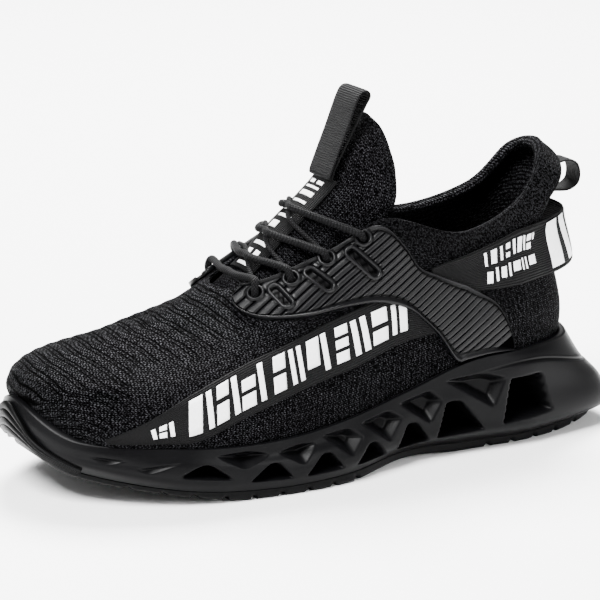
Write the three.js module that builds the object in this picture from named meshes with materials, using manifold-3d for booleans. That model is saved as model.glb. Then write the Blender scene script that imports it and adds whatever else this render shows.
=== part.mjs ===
// Low lace-up safety sneaker for the left foot, in millimetres, +Z up.
// The toe points along -Y and the outer (lateral) side faces +X.
// Places are given as along (from the back of the sole), across (+ to the outer side) and up.

import * as THREE from 'three';
import { mergeVertices } from 'three/addons/utils/BufferGeometryUtils.js';
import Module from 'manifold-3d';

const wasm = await Module();
wasm.setup();

// Last and sole
const SOLE_LENGTH = 310;
const BALL_WIDTH = 104;
const SOLE_HEIGHT = 48;
const HEEL_HEIGHT = 90;
const INSTEP_HEIGHT = 78.5;
const LASTING_DEPTH = 5;
const FIT = 0.3;
const OVERLAY_LIFT = 0.65;

// Upper and tongue
const KNIT_WALL = 2.2;
const COLLAR_WALL = 5.5;
const TONGUE_WALL = 4.5;
const TONGUE_TIP_WALL = 1.8;
const TONGUE_TIP_ROWS = 1.5;
const TONGUE_SHIFT = -1;
const INSOLE_THICKNESS = 4;
const INSOLE_GAP = 1;

// Moulded eyestays
const EYESTAY_THICKNESS = 1.5;
const BEAD_HEIGHT = 0.8;
const EYELET_RADIUS = 2.6;
const SLOT_RADIUS = 1.8;
const RING_WIDTH = 1.5;
const RING_HEIGHT = 0.8;
const RING_SINK = 0.5;
const PLUG_REACH = 10;
const TRIM_MARGIN = 0.012;

// Tapes, strap and pull loops
const TAPE_THICKNESS = 1.1;
const STRAP_STANDOFF = 11;
const TONGUE_TAPE_WIDTH = 20;
const TONGUE_LOOP_HEIGHT = 42;
const HEEL_LOOP_WIDTH = 12;
const HEEL_LOOP_DEPTH = 14;
const HEEL_LOOP_GAP = 1.2;

// Lace
const LACE_RADIUS = 1.75;
const CROSS_LACE_RADIUS = 1.4;
const LACE_GAP = 1.1;
const LACE_TURN = 0.3;
const CROSS_LACE_TURN = 0.25;

// Sole cuts and tread
const HOLE_DEPTH = 22;
const HOLE_TAPER = 0.78;
const POCKET_DEPTH = 5;
const POCKET_TAPER = 0.3;
const POCKET_FALL = 5;
const FLANK_LEVEL = 0.4;
const CUT_OVERRUN = 6;
const GROOVE_WIDTH = 3;
const GROOVE_DEPTH = 2.2;
const GROOVE_PITCH = 13.5;
const GROOVE_SLOPE = 0.4;
const BUMPER_WALL = 1.4;
const BUMPER_RIB = 0.9;
const BUMPER_RIBS = 5;
const BUMPER_SINK = 0.06;
const BUMPER_FOOT = 0.3;

// Fineness of the faceted surfaces
const STATIONS = 18;
const AROUND = 48;
const UPPER_STEPS = 9;
const SOLE_STEPS = 8;
const EYESTAY_STEPS = 20;
const SIDE_TAPE_STEPS = 18;
const STRAP_STEPS = 32;
const BUMPER_STEPS = 16;
const TONGUE_STEPS = 14;
const TONGUE_TURNS = 10;
const TONGUE_TAPE_STEPS = 12;
const TONGUE_LOOP_STEPS = 30;
const HEEL_LOOP_STEPS = 24;
const LACE_STEPS = 10;
const LACE_SIDES = 6;
const OPENING_SIDES = 8;
const BISECTIONS = 20;
const STATION_STEP = 0.02;
const ROW_STEP = 0.05;

// A ring runs round the shoe in stations: 0 at the heel, 9 at the toe tip, 10 to 17 back along the
// inner side. Rows go from heel to toe. Along is a share of SOLE_LENGTH, lateral and medial are
// shares of BALL_WIDTH.
const UPPER_LEVELS = [
  // Feather line, in the cup of the sole
  [
    { along: 0.087, lateral: 0, medial: 0, up: 0 },
    { along: 0.11, lateral: 0.231, medial: 0.221, up: 0 },
    { along: 0.194, lateral: 0.365, medial: 0.337, up: 0 },
    { along: 0.303, lateral: 0.394, medial: 0.356, up: 0 },
    { along: 0.413, lateral: 0.413, medial: 0.346, up: 0 },
    { along: 0.532, lateral: 0.471, medial: 0.385, up: 0 },
    { along: 0.665, lateral: 0.51, medial: 0.462, up: 0 },
    { along: 0.797, lateral: 0.471, medial: 0.5, up: 0 },
    { along: 0.916, lateral: 0.298, medial: 0.375, up: 0 },
    { along: 0.968, lateral: -0.058, medial: 0.058, up: 0 },
  ],
  // Wall above the rim of the sole
  [
    { along: 0.084, lateral: 0, medial: 0, up: 0.14 },
    { along: 0.106, lateral: 0.231, medial: 0.221, up: 0.15 },
    { along: 0.19, lateral: 0.365, medial: 0.337, up: 0.155 },
    { along: 0.303, lateral: 0.404, medial: 0.365, up: 0.16 },
    { along: 0.413, lateral: 0.423, medial: 0.356, up: 0.223 },
    { along: 0.532, lateral: 0.481, medial: 0.404, up: 0.217 },
    { along: 0.665, lateral: 0.519, medial: 0.471, up: 0.191 },
    { along: 0.8, lateral: 0.481, medial: 0.5, up: 0.173 },
    { along: 0.93, lateral: 0.298, medial: 0.375, up: 0.115 },
    { along: 0.981, lateral: -0.058, medial: 0.058, up: 0.076 },
  ],
  // Shoulder
  [
    { along: 0.1, lateral: 0, medial: 0, up: 0.405 },
    { along: 0.119, lateral: 0.212, medial: 0.192, up: 0.395 },
    { along: 0.19, lateral: 0.337, medial: 0.308, up: 0.345 },
    { along: 0.3, lateral: 0.385, medial: 0.346, up: 0.317 },
    { along: 0.413, lateral: 0.413, medial: 0.365, up: 0.478 },
    { along: 0.529, lateral: 0.442, medial: 0.394, up: 0.459 },
    { along: 0.658, lateral: 0.462, medial: 0.433, up: 0.408 },
    { along: 0.787, lateral: 0.413, medial: 0.442, up: 0.351 },
    { along: 0.906, lateral: 0.26, medial: 0.337, up: 0.315 },
    { along: 0.958, lateral: -0.058, medial: 0.058, up: 0.178 },
  ],
  // Crown
  [
    { along: 0.113, lateral: 0, medial: 0, up: 0.672 },
    { along: 0.132, lateral: 0.192, medial: 0.173, up: 0.639 },
    { along: 0.19, lateral: 0.298, medial: 0.269, up: 0.511 },
    { along: 0.297, lateral: 0.365, medial: 0.327, up: 0.472 },
    { along: 0.416, lateral: 0.385, medial: 0.346, up: 0.694 },
    { along: 0.526, lateral: 0.385, medial: 0.356, up: 0.662 },
    { along: 0.645, lateral: 0.375, medial: 0.365, up: 0.573 },
    { along: 0.761, lateral: 0.279, medial: 0.317, up: 0.491 },
    { along: 0.839, lateral: 0.135, medial: 0.212, up: 0.418 },
    { along: 0.871, lateral: -0.048, medial: 0.048, up: 0.242 },
  ],
  // Collar and vamp beside the throat
  [
    { along: 0.081, lateral: 0, medial: 0, up: 0.883 },
    { along: 0.106, lateral: 0.212, medial: 0.183, up: 0.839 },
    { along: 0.184, lateral: 0.279, medial: 0.25, up: 0.656 },
    { along: 0.3, lateral: 0.356, medial: 0.317, up: 0.583 },
    { along: 0.419, lateral: 0.346, medial: 0.317, up: 0.86 },
    { along: 0.523, lateral: 0.317, medial: 0.298, up: 0.815 },
    { along: 0.632, lateral: 0.279, medial: 0.279, up: 0.688 },
    { along: 0.71, lateral: 0.163, medial: 0.192, up: 0.6 },
    { along: 0.748, lateral: 0.067, medial: 0.106, up: 0.526 },
    { along: 0.761, lateral: -0.029, medial: 0.029, up: 0.338 },
  ],
  // Top line and throat edge
  [
    { along: 0.106, lateral: 0, medial: 0, up: 0.994 },
    { along: 0.129, lateral: 0.154, medial: 0.135, up: 0.95 },
    { along: 0.187, lateral: 0.24, medial: 0.212, up: 0.744 },
    { along: 0.303, lateral: 0.317, medial: 0.279, up: 0.661 },
    { along: 0.426, lateral: 0.298, medial: 0.279, up: 1 },
    { along: 0.513, lateral: 0.25, medial: 0.24, up: 0.943 },
    { along: 0.606, lateral: 0.192, medial: 0.192, up: 0.828 },
    { along: 0.652, lateral: 0.125, medial: 0.125, up: 0.759 },
    { along: 0.665, lateral: 0.058, medial: 0.067, up: 0.698 },
    { along: 0.668, lateral: -0.01, medial: 0.01, up: 0.522 },
  ],
];

// Up is a share of SOLE_HEIGHT in the tables of the sole.
const SOLE_LEVELS = [
  // Underside of the midsole
  [
    { along: 0.023, lateral: 0, medial: 0, up: 0.146 },
    { along: 0.048, lateral: 0.25, medial: 0.24, up: 0.125 },
    { along: 0.181, lateral: 0.385, medial: 0.356, up: 0.09 },
    { along: 0.303, lateral: 0.394, medial: 0.346, up: 0.1 },
    { along: 0.413, lateral: 0.413, medial: 0.327, up: 0.125 },
    { along: 0.542, lateral: 0.548, medial: 0.365, up: 0.1 },
    { along: 0.671, lateral: 0.558, medial: 0.471, up: 0.09 },
    { along: 0.806, lateral: 0.49, medial: 0.529, up: 0.167 },
    { along: 0.934, lateral: 0.232, medial: 0.335, up: 0.33 },
    { along: 0.968, lateral: -0.058, medial: 0.058, up: 0.5 },
  ],
  // Widest line, low on the flank
  [
    { along: 0.003, lateral: 0, medial: 0, up: 0.25 },
    { along: 0.029, lateral: 0.308, medial: 0.288, up: 0.229 },
    { along: 0.181, lateral: 0.442, medial: 0.413, up: 0.229 },
    { along: 0.303, lateral: 0.452, medial: 0.394, up: 0.25 },
    { along: 0.413, lateral: 0.462, medial: 0.375, up: 0.25 },
    { along: 0.542, lateral: 0.567, medial: 0.413, up: 0.229 },
    { along: 0.671, lateral: 0.577, medial: 0.51, up: 0.208 },
    { along: 0.81, lateral: 0.51, medial: 0.548, up: 0.271 },
    { along: 0.939, lateral: 0.275, medial: 0.375, up: 0.43 },
    { along: 0.985, lateral: -0.058, medial: 0.058, up: 0.604 },
  ],
  // Middle of the flank
  [
    { along: 0.019, lateral: 0, medial: 0, up: 0.458 },
    { along: 0.045, lateral: 0.298, medial: 0.279, up: 0.479 },
    { along: 0.184, lateral: 0.433, medial: 0.404, up: 0.521 },
    { along: 0.303, lateral: 0.452, medial: 0.394, up: 0.542 },
    { along: 0.413, lateral: 0.462, medial: 0.375, up: 0.458 },
    { along: 0.542, lateral: 0.548, medial: 0.413, up: 0.375 },
    { along: 0.668, lateral: 0.567, medial: 0.5, up: 0.333 },
    { along: 0.806, lateral: 0.51, medial: 0.538, up: 0.396 },
    { along: 0.94, lateral: 0.277, medial: 0.37, up: 0.5 },
    { along: 0.989, lateral: -0.058, medial: 0.058, up: 0.708 },
  ],
  // Ledge under the rim
  [
    { along: 0.048, lateral: 0, medial: 0, up: 0.646 },
    { along: 0.071, lateral: 0.269, medial: 0.25, up: 0.688 },
    { along: 0.187, lateral: 0.413, medial: 0.385, up: 0.854 },
    { along: 0.303, lateral: 0.433, medial: 0.385, up: 0.792 },
    { along: 0.413, lateral: 0.452, medial: 0.365, up: 0.604 },
    { along: 0.539, lateral: 0.519, medial: 0.404, up: 0.479 },
    { along: 0.668, lateral: 0.548, medial: 0.49, up: 0.417 },
    { along: 0.803, lateral: 0.5, medial: 0.529, up: 0.479 },
    { along: 0.94, lateral: 0.282, medial: 0.375, up: 0.56 },
    { along: 0.989, lateral: -0.058, medial: 0.058, up: 0.813 },
  ],
  // Rim, where the upper rises from the cup
  [
    { along: 0.077, lateral: 0, medial: 0, up: 0.99 },
    { along: 0.1, lateral: 0.26, medial: 0.24, up: 0.969 },
    { along: 0.19, lateral: 0.394, medial: 0.365, up: 0.958 },
    { along: 0.303, lateral: 0.423, medial: 0.385, up: 0.927 },
    { along: 0.413, lateral: 0.442, medial: 0.365, up: 0.74 },
    { along: 0.539, lateral: 0.5, medial: 0.404, up: 0.583 },
    { along: 0.665, lateral: 0.538, medial: 0.49, up: 0.521 },
    { along: 0.8, lateral: 0.49, medial: 0.529, up: 0.55 },
    { along: 0.94, lateral: 0.276, medial: 0.362, up: 0.63 },
    { along: 0.984, lateral: -0.058, medial: 0.058, up: 0.917 },
  ],
];

// Edge of the tread. A level under the floor is cut off by it, so heel and ball stand flat.
const TREAD_EDGE = [
  { along: 0.032, lateral: 0, medial: 0, up: 0.083 },
  { along: 0.055, lateral: 0.231, medial: 0.221, up: 0.042 },
  { along: 0.181, lateral: 0.365, medial: 0.346, up: -0.021 },
  { along: 0.303, lateral: 0.375, medial: 0.327, up: -0.006 },
  { along: 0.413, lateral: 0.394, medial: 0.308, up: 0.042 },
  { along: 0.542, lateral: 0.538, medial: 0.346, up: -0.006 },
  { along: 0.671, lateral: 0.548, medial: 0.452, up: -0.021 },
  { along: 0.806, lateral: 0.462, medial: 0.5, up: 0.094 },
  { along: 0.93, lateral: 0.212, medial: 0.305, up: 0.25 },
  { along: 0.966, lateral: -0.058, medial: 0.058, up: 0.42 },
];

// Tongue, from its front under the vamp to its top. Along and back are shares of SOLE_LENGTH, half
// of BALL_WIDTH, up (over the rim) and down of INSTEP_HEIGHT. Back and down say how far the two
// side edges lie behind and below the middle.
const TONGUE_ROWS = [
  { along: 0.723, up: 0.575, half: 0.231, back: 0.013, down: 0.127 },
  { along: 0.668, up: 0.707, half: 0.212, back: 0.013, down: 0.153 },
  { along: 0.613, up: 0.841, half: 0.231, back: 0.019, down: 0.204 },
  { along: 0.558, up: 1.028, half: 0.225, back: 0.026, down: 0.28 },
  { along: 0.51, up: 1.157, half: 0.228, back: 0.045, down: 0.26 },
  { along: 0.477, up: 1.259, half: 0.232, back: 0.077, down: 0.19 },
  { along: 0.458, up: 1.371, half: 0.212, back: 0.068, down: 0.102 },
  { along: 0.435, up: 1.473, half: 0.154, back: 0.045, down: 0.076 },
  { along: 0.419, up: 1.54, half: 0.087, back: 0.026, down: 0.051 },
  { along: 0.413, up: 1.567, half: 0.029, back: 0.006, down: 0.013 },
];

// Outlines on the upper: station, and the low and high edge as shares of the way up the surface.
const EYESTAY_ROWS = [
  { station: 2.3, low: 0.06, high: 0.08 },
  { station: 2.4, low: 0.06, high: 0.18 },
  { station: 2.65, low: 0.06, high: 0.36 },
  { station: 3.05, low: 0.06, high: 0.5 },
  { station: 3.25, low: 0.08, high: 0.54 },
  { station: 3.55, low: 0.24, high: 0.585 },
  { station: 3.8, low: 0.34, high: 0.64 },
  { station: 3.95, low: 0.39, high: 0.8 },
  { station: 4.15, low: 0.44, high: 0.97 },
  { station: 4.5, low: 0.51, high: 1 },
  { station: 4.9, low: 0.56, high: 1 },
  { station: 5.4, low: 0.6, high: 1 },
  { station: 5.9, low: 0.69, high: 1 },
  { station: 6.4, low: 0.83, high: 1 },
  { station: 6.75, low: 0.93, high: 1 },
];
const SIDE_TAPE_ROWS = [
  { station: 3.3, low: 0.24, high: 0.4 },
  { station: 4.05, low: 0.265, high: 0.5 },
  { station: 4.9, low: 0.26, high: 0.53 },
  { station: 5.6, low: 0.25, high: 0.51 },
  { station: 6.25, low: 0.19, high: 0.46 },
  { station: 6.85, low: 0.09, high: 0.35 },
  { station: 7.3, low: 0.09, high: 0.22 },
  { station: 7.75, low: 0.095, high: 0.12 },
];
const STRAP_FREE_STATION = 0.3;
const STRAP_ROOT_STATION = 1.7;
const STRAP_ROWS = [
  { station: -3.6, low: 0.5, high: 0.62 },
  { station: -2.95, low: 0.455, high: 0.76 },
  { station: -2.3, low: 0.405, high: 0.775 },
  { station: -1.9, low: 0.39, high: 0.73 },
  { station: -1.25, low: 0.365, high: 0.635 },
  { station: 0, low: 0.355, high: 0.58 },
  { station: 1.25, low: 0.365, high: 0.635 },
  { station: 1.9, low: 0.39, high: 0.73 },
  { station: 2.3, low: 0.405, high: 0.775 },
  { station: 2.95, low: 0.455, high: 0.76 },
  { station: 3.6, low: 0.5, high: 0.62 },
];
const BUMPER_ROOTS = [7.6, 10.4];
const BUMPER_ROWS = [
  { station: 7.9, high: 0.14 },
  { station: 8.2, high: 0.27 },
  { station: 8.48, high: 0.45 },
  { station: 8.7, high: 0.74 },
  { station: 9, high: 0.9 },
  { station: 9.3, high: 0.74 },
  { station: 9.52, high: 0.45 },
  { station: 9.8, high: 0.27 },
  { station: 10.1, high: 0.14 },
];

// Eyelets from the toe end up, with the place on the tongue that their lace bar crosses.
const EYELETS = [
  { station: 6.2, level: 0.92, crossing: 1.65 },
  { station: 5.6, level: 0.92, crossing: 2.2 },
  { station: 5.08, level: 0.94, crossing: 2.8 },
  { station: 4.47, level: 0.94, crossing: 3.55 },
];
const SLOTS = [
  { station: 5.84, level: 0.89, endStation: 5.66, endLevel: 0.76 },
  { station: 5.32, level: 0.89, endStation: 5.1, endLevel: 0.74 },
  { station: 4.69, level: 0.88, endStation: 4.44, endLevel: 0.68 },
];

// Openings in the flank, seen from the side: shares of SOLE_LENGTH along, of SOLE_HEIGHT up.
const HOLES = [
  { front: 0.808, foot: 0.3, apex: 0.77, top: 0.405, flat: 0.01, back: 0.73, heel: 0.235 },
  { front: 0.704, foot: 0.19, apex: 0.664, top: 0.34, flat: 0.012, back: 0.634, heel: 0.17 },
  { front: 0.613, foot: 0.17, apex: 0.576, top: 0.35, flat: 0.014, back: 0.547, heel: 0.175 },
  { front: 0.523, foot: 0.17, apex: 0.49, top: 0.35, flat: 0.014, back: 0.462, heel: 0.185 },
  { front: 0.44, foot: 0.19, apex: 0.412, top: 0.43, flat: 0.016, back: 0.378, heel: 0.215 },
  { front: 0.366, foot: 0.22, apex: 0.338, top: 0.57, flat: 0.024, back: 0.282, heel: 0.235 },
  { front: 0.25, foot: 0.26, apex: 0.205, top: 0.7, flat: 0.06, back: 0.157, heel: 0.31 },
];
const POCKETS = [
  { front: 0.938, rise: 0.545, tip: 0.9, dip: 0.435, back: 0.862, end: 0.487, crest: 0.9, top: 0.5 },
  { front: 0.866, rise: 0.4, tip: 0.85, dip: 0.345, back: 0.787, end: 0.465, crest: 0.83, top: 0.43 },
  { front: 0.754, rise: 0.47, tip: 0.712, dip: 0.32, back: 0.668, end: 0.42, crest: 0.7, top: 0.48 },
  { front: 0.655, rise: 0.42, tip: 0.616, dip: 0.28, back: 0.59, end: 0.45, crest: 0.62, top: 0.47 },
  { front: 0.578, rise: 0.5, tip: 0.532, dip: 0.27, back: 0.508, end: 0.42, crest: 0.53, top: 0.52 },
  { front: 0.507, rise: 0.54, tip: 0.455, dip: 0.3, back: 0.43, end: 0.5, crest: 0.455, top: 0.6 },
  { front: 0.434, rise: 0.64, tip: 0.379, dip: 0.39, back: 0.358, end: 0.6, crest: 0.378, top: 0.71 },
  { front: 0.351, rise: 0.78, tip: 0.267, dip: 0.45, back: 0.245, end: 0.72, crest: 0.28, top: 0.8 },
];

// Stretches of the tread with grooves, as shares of SOLE_LENGTH
const GROOVE_ZONES = [[0.09, 0.32], [0.52, 0.93]];

// Rows of the tongue between which its tape lies
const TAPE_ROWS = { front: 1.9, stitch: 4.95 };

// Pull loops, as shares of their own height or depth
const TONGUE_LOOP_ROWS = [
  { ahead: 0.03, up: 0.01 },
  { ahead: -0.05, up: 0.22 },
  { ahead: -0.18, up: 0.53 },
  { ahead: -0.3, up: 0.83 },
  { ahead: -0.37, up: 0.93 },
  { ahead: -0.455, up: 0.94 },
  { ahead: -0.49, up: 0.87 },
  { ahead: -0.43, up: 0.76 },
  { ahead: -0.31, up: 0.55 },
  { ahead: -0.16, up: 0.28 },
  { ahead: -0.06, up: 0.1 },
  { ahead: -0.01, up: -0.02 },
];
const HEEL_LOOP_LEVELS = [0.64, 0.7, 0.765];
const HEEL_LOOP_ROWS = [
  { back: 0.14, up: 0.08 },
  { back: 0.6, up: 0.12 },
  { back: 0.93, up: -0.05 },
  { back: 1.05, up: -0.42 },
  { back: 0.96, up: -0.78 },
  { back: 0.6, up: -0.98 },
  { back: 0.1, up: -0.97 },
];

// Collar padding: the levels over which it grows, and the stations from the heel where it ends
const PADDING = { low: 0.5, full: 0.8, rear: 3.6, front: 4.4 };

// Rows of the upper from this one on lie in front of the ankle.
const FOREPART_ROW = 4;

// Part of the upper's surface that can lie in the cup of the sole
const CUP_SHARE = 0.25;

function place(along, across, up) {
  return new THREE.Vector3(across, -along, up);
}

// Smooth curve through points, open or closed
function curveThrough(points, closed = false) {
  return new THREE.CatmullRomCurve3(points, closed, 'catmullrom', 0.5);
}

// Ring of 18 stations as a closed curve; height gives the level of a row.
function ringCurve(rows, height) {
  const side = (width) => rows.map((row, i) => (
    place(row.along * SOLE_LENGTH, width(row) * BALL_WIDTH, height(row, i))));
  const outer = side((row) => row.lateral);
  const inner = side((row) => -row.medial);
  return curveThrough([...outer, ...inner.slice(1, -1).reverse()], true);
}

function onRing(curve, station) {
  const turn = station / STATIONS;
  return curve.getPoint(turn - Math.floor(turn));
}

// Surface through a stack of rings: station runs round it, level goes from 0 up to 1.
function onSurface(rings, station, level) {
  const column = rings.map((ring) => onRing(ring, station));
  return curveThrough(column).getPoint(level);
}

function outward(rings, station, level) {
  const low = Math.max(0, level - STATION_STEP);
  const high = Math.min(1, level + STATION_STEP);
  const before = onSurface(rings, station - STATION_STEP, level);
  const round = onSurface(rings, station + STATION_STEP, level).sub(before);
  const rise = onSurface(rings, station, high).sub(onSurface(rings, station, low));
  return rise.cross(round).normalize();
}

function lifted(rings, station, level, lift) {
  return onSurface(rings, station, level).addScaledVector(outward(rings, station, level), lift);
}

// Level at which the surface reaches a height, close above its lower edge.
function levelAtHeight(rings, station, up) {
  let low = 0;
  let high = CUP_SHARE;
  for (let i = 0; i < BISECTIONS; i += 1) {
    const middle = (low + high) / 2;
    if (onSurface(rings, station, middle).z < up) {
      low = middle;
    } else {
      high = middle;
    }
  }
  return low;
}

const soleRings = SOLE_LEVELS.map((rows) => ringCurve(rows, (row) => row.up * SOLE_HEIGHT));
const rimRows = SOLE_LEVELS[SOLE_LEVELS.length - 1];
const rimRing = soleRings[soleRings.length - 1];
const groundRing = ringCurve(TREAD_EDGE, (row) => row.up * SOLE_HEIGHT);

// The heel rows follow HEEL_HEIGHT and the rows in front of the ankle follow INSTEP_HEIGHT.
function upperHeight(row, i) {
  const feather = rimRows[i].up * SOLE_HEIGHT - LASTING_DEPTH;
  const rise = i < FOREPART_ROW ? HEEL_HEIGHT : INSTEP_HEIGHT;
  return row.up === 0 ? feather : rimRows[i].up * SOLE_HEIGHT + row.up * rise;
}
const upperRings = UPPER_LEVELS.map((rows) => ringCurve(rows, upperHeight));

function geometryFrom(points, triangles) {
  const geometry = new THREE.BufferGeometry();
  const values = points.flatMap((point) => [point.x, point.y, point.z]);
  geometry.setAttribute('position', new THREE.Float32BufferAttribute(values, 3));
  geometry.setIndex(triangles);
  return geometry;
}

// The same body with its faces turned out, whichever way they were wound.
function facingOut(geometry) {
  const index = Array.from(geometry.index.array);
  const corner = (i) => new THREE.Vector3().fromBufferAttribute(geometry.attributes.position, index[i]);
  let volume = 0;
  for (let i = 0; i < index.length; i += 3) {
    volume += corner(i).dot(corner(i + 1).cross(corner(i + 2)));
  }
  if (volume < 0) {
    index.reverse();
  }
  geometry.setIndex(index);
  return geometry;
}

function solidFrom(geometry) {
  const bare = geometry.clone();
  bare.deleteAttribute('normal');
  bare.deleteAttribute('uv');
  const merged = mergeVertices(bare, 1e-4);
  const vertProperties = new Float32Array(merged.attributes.position.array);
  const triVerts = new Uint32Array(merged.index.array);
  return new wasm.Manifold(new wasm.Mesh({ numProp: 3, vertProperties, triVerts }));
}

function geometryOf(solid) {
  const mesh = solid.getMesh();
  const geometry = new THREE.BufferGeometry();
  geometry.setAttribute('position', new THREE.Float32BufferAttribute(mesh.vertProperties, 3));
  geometry.setIndex(new THREE.Uint32BufferAttribute(mesh.triVerts, 1));
  return geometry;
}

// Closed body between rings of points, lowest first, closed at both ends by rungs from side to side.
function loft(rings) {
  const count = rings[0].length;
  const triangles = [];
  for (let k = 0; k < rings.length - 1; k += 1) {
    for (let i = 0; i < count; i += 1) {
      const next = (i + 1) % count;
      const a = k * count + i;
      const b = k * count + next;
      const c = (k + 1) * count + next;
      const d = (k + 1) * count + i;
      triangles.push(a, c, b, a, d, c);
    }
  }
  const top = (rings.length - 1) * count;
  for (let i = 0; i < count / 2; i += 1) {
    const far = (count - i) % count;
    const farNext = count - i - 1;
    const corners = [i, i + 1, farNext, far];
    const pair = far === i ? [[0, 1, 2]] : [[0, 1, 2], [0, 2, 3]];
    for (const [p, q, r] of i + 1 === farNext ? [[0, 1, 3]] : pair) {
      triangles.push(corners[p], corners[q], corners[r]);
      triangles.push(top + corners[p], top + corners[r], top + corners[q]);
    }
  }
  return geometryFrom(rings.flat(), triangles);
}

// Closed sheet between an outer and an inner grid of points (columns of equal length). Around says
// that the last column meets the first one again.
function sheet(outer, inner, around = false) {
  const columns = outer.length;
  const rows = outer[0].length;
  const points = [...outer.flat(), ...inner.flat()];
  const shift = columns * rows;
  const triangles = [];
  const quad = (a, b, c, d) => triangles.push(a, b, c, a, c, d);
  const spans = around ? columns : columns - 1;
  for (let i = 0; i < spans; i += 1) {
    const here = i * rows;
    const next = ((i + 1) % columns) * rows;
    for (let j = 0; j < rows - 1; j += 1) {
      quad(here + j, here + j + 1, next + j + 1, next + j);
      quad(shift + here + j, shift + next + j, shift + next + j + 1, shift + here + j + 1);
    }
    quad(here, next, shift + next, shift + here);
    quad(here + rows - 1, shift + here + rows - 1, shift + next + rows - 1, next + rows - 1);
  }
  if (!around) {
    const last = (columns - 1) * rows;
    for (let j = 0; j < rows - 1; j += 1) {
      quad(j, shift + j, shift + j + 1, j + 1);
      quad(last + j, last + j + 1, shift + last + j + 1, shift + last + j);
    }
  }
  return geometryFrom(points, triangles);
}

function stationsAround() {
  return Array.from({ length: AROUND }, (_, i) => (i * STATIONS) / AROUND);
}

function smooth(low, high, value) {
  return THREE.MathUtils.smoothstep(value, low, high);
}

// Wall of the upper: knit, padded round the collar.
function upperWall(station, level) {
  const turn = ((station % STATIONS) + STATIONS) % STATIONS;
  const fromHeel = Math.min(turn, STATIONS - turn);
  const ended = smooth(PADDING.rear, PADDING.front, fromHeel);
  const padding = smooth(PADDING.low, PADDING.full, level) * (1 - ended);
  return KNIT_WALL + (COLLAR_WALL - KNIT_WALL) * padding;
}

function innerUpper(station, level, clearance = 0) {
  return lifted(upperRings, station, level, -upperWall(station, level) - clearance);
}

// Band on a surface, between the low and high edge of its rows. Lift and thickness may depend on
// the station and on the share of the way across the band.
function band(rings, rows, { steps, across, lift, thickness, mirror = false }) {
  const edges = curveThrough(rows.map((row) => new THREE.Vector3(row.station, row.low, row.high)));
  const outer = [];
  const inner = [];
  for (let i = 0; i <= steps; i += 1) {
    const edge = edges.getPoint(i / steps);
    const station = mirror ? STATIONS - edge.x : edge.x;
    const cut = (height) => across.map((share) => {
      const level = THREE.MathUtils.clamp(edge.y + (edge.z - edge.y) * share, 0, 1);
      return lifted(rings, station, level, height(share));
    });
    outer.push(cut((share) => lift(edge.x, share) + thickness(edge.x, share)));
    inner.push(cut((share) => lift(edge.x, share)));
  }
  return solidFrom(facingOut(sheet(outer, inner)));
}

function evenShares(count) {
  return Array.from({ length: count + 1 }, (_, i) => i / count);
}

// Prism through outlines that run the same way round, closed at both ends by a fan from its middle.
function prism(outlines) {
  const count = outlines[0].length;
  const middle = (outline) => outline
    .reduce((sum, point) => sum.add(point), new THREE.Vector3())
    .divideScalar(count);
  const last = (outlines.length - 1) * count;
  const ends = outlines.length * count;
  const points = [...outlines.flat(), middle(outlines[0]), middle(outlines[outlines.length - 1])];
  const triangles = [];
  for (let i = 0; i < count; i += 1) {
    const next = (i + 1) % count;
    triangles.push(i, next, ends);
    triangles.push(last + next, last + i, ends + 1);
    for (let start = 0; start < last; start += count) {
      triangles.push(start + i, start + count + i, start + count + next);
      triangles.push(start + i, start + count + next, start + next);
    }
  }
  return solidFrom(facingOut(geometryFrom(points, triangles)));
}

// Capsule-shaped plug or ring blank standing on the upper between two places of its surface.
function capsule(first, last, radius, from, to) {
  const start = onSurface(upperRings, first.station, first.level);
  const end = onSurface(upperRings, last.station, last.level);
  const normal = outward(upperRings, (first.station + last.station) / 2, (first.level + last.level) / 2);
  const run = end.clone().sub(start);
  const direction = first === last ? new THREE.Vector3(0, 1, 0) : run;
  const ahead = direction.projectOnPlane(normal).normalize();
  const aside = normal.clone().cross(ahead);
  const outline = (height) => Array.from({ length: OPENING_SIDES }, (_, i) => {
    const angle = ((i + 0.5) * 2 * Math.PI) / OPENING_SIDES;
    const centre = Math.cos(angle) > 0 ? end : start;
    return centre.clone()
      .addScaledVector(ahead, radius * Math.cos(angle))
      .addScaledVector(aside, radius * Math.sin(angle))
      .addScaledVector(normal, height);
  });
  return prism([outline(from), outline(to)]);
}

// Upper: one hollow knit shell, open at the top line, down the throat and underneath.
function makeUpper() {
  const levels = evenShares(UPPER_STEPS);
  const columns = (point) => stationsAround().map((station) => levels.map((level) => point(station, level)));
  const outer = columns((station, level) => onSurface(upperRings, station, level));
  const inner = columns((station, level) => innerUpper(station, level));
  return solidFrom(facingOut(sheet(outer, inner, true)));
}

// Midsole: flank rings, then the lip beside the upper and the floor of the cup.
function makeMidsole() {
  const stations = stationsAround();
  const flank = evenShares(SOLE_STEPS).map((level) => (
    stations.map((station) => onSurface(soleRings, station, level))));
  const lip = stations.map((station) => {
    const rim = onRing(rimRing, station).z;
    const point = lifted(upperRings, station, levelAtHeight(upperRings, station, rim), FIT);
    return point.setZ(rim);
  });
  const floor = stations.map((station) => {
    const feather = onSurface(upperRings, station, 0).z;
    return lifted(upperRings, station, 0, FIT).setZ(feather - FIT);
  });
  let solid = solidFrom(facingOut(loft([...flank, lip, floor])));
  for (const side of [1, -1]) {
    for (const hole of HOLES) {
      solid = solid.subtract(flankCut(holeOutline(hole), side, HOLE_DEPTH, 0, HOLE_TAPER));
    }
    for (const pocket of POCKETS) {
      const outline = pocketOutline(pocket);
      solid = solid.subtract(flankCut(outline, side, POCKET_DEPTH, POCKET_FALL, POCKET_TAPER));
    }
  }
  return solid;
}

function holeOutline({ front, foot, apex, top, flat, back, heel }) {
  return [[front, foot], [apex + flat / 2, top], [apex - flat / 2, top], [back, heel]];
}

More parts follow.
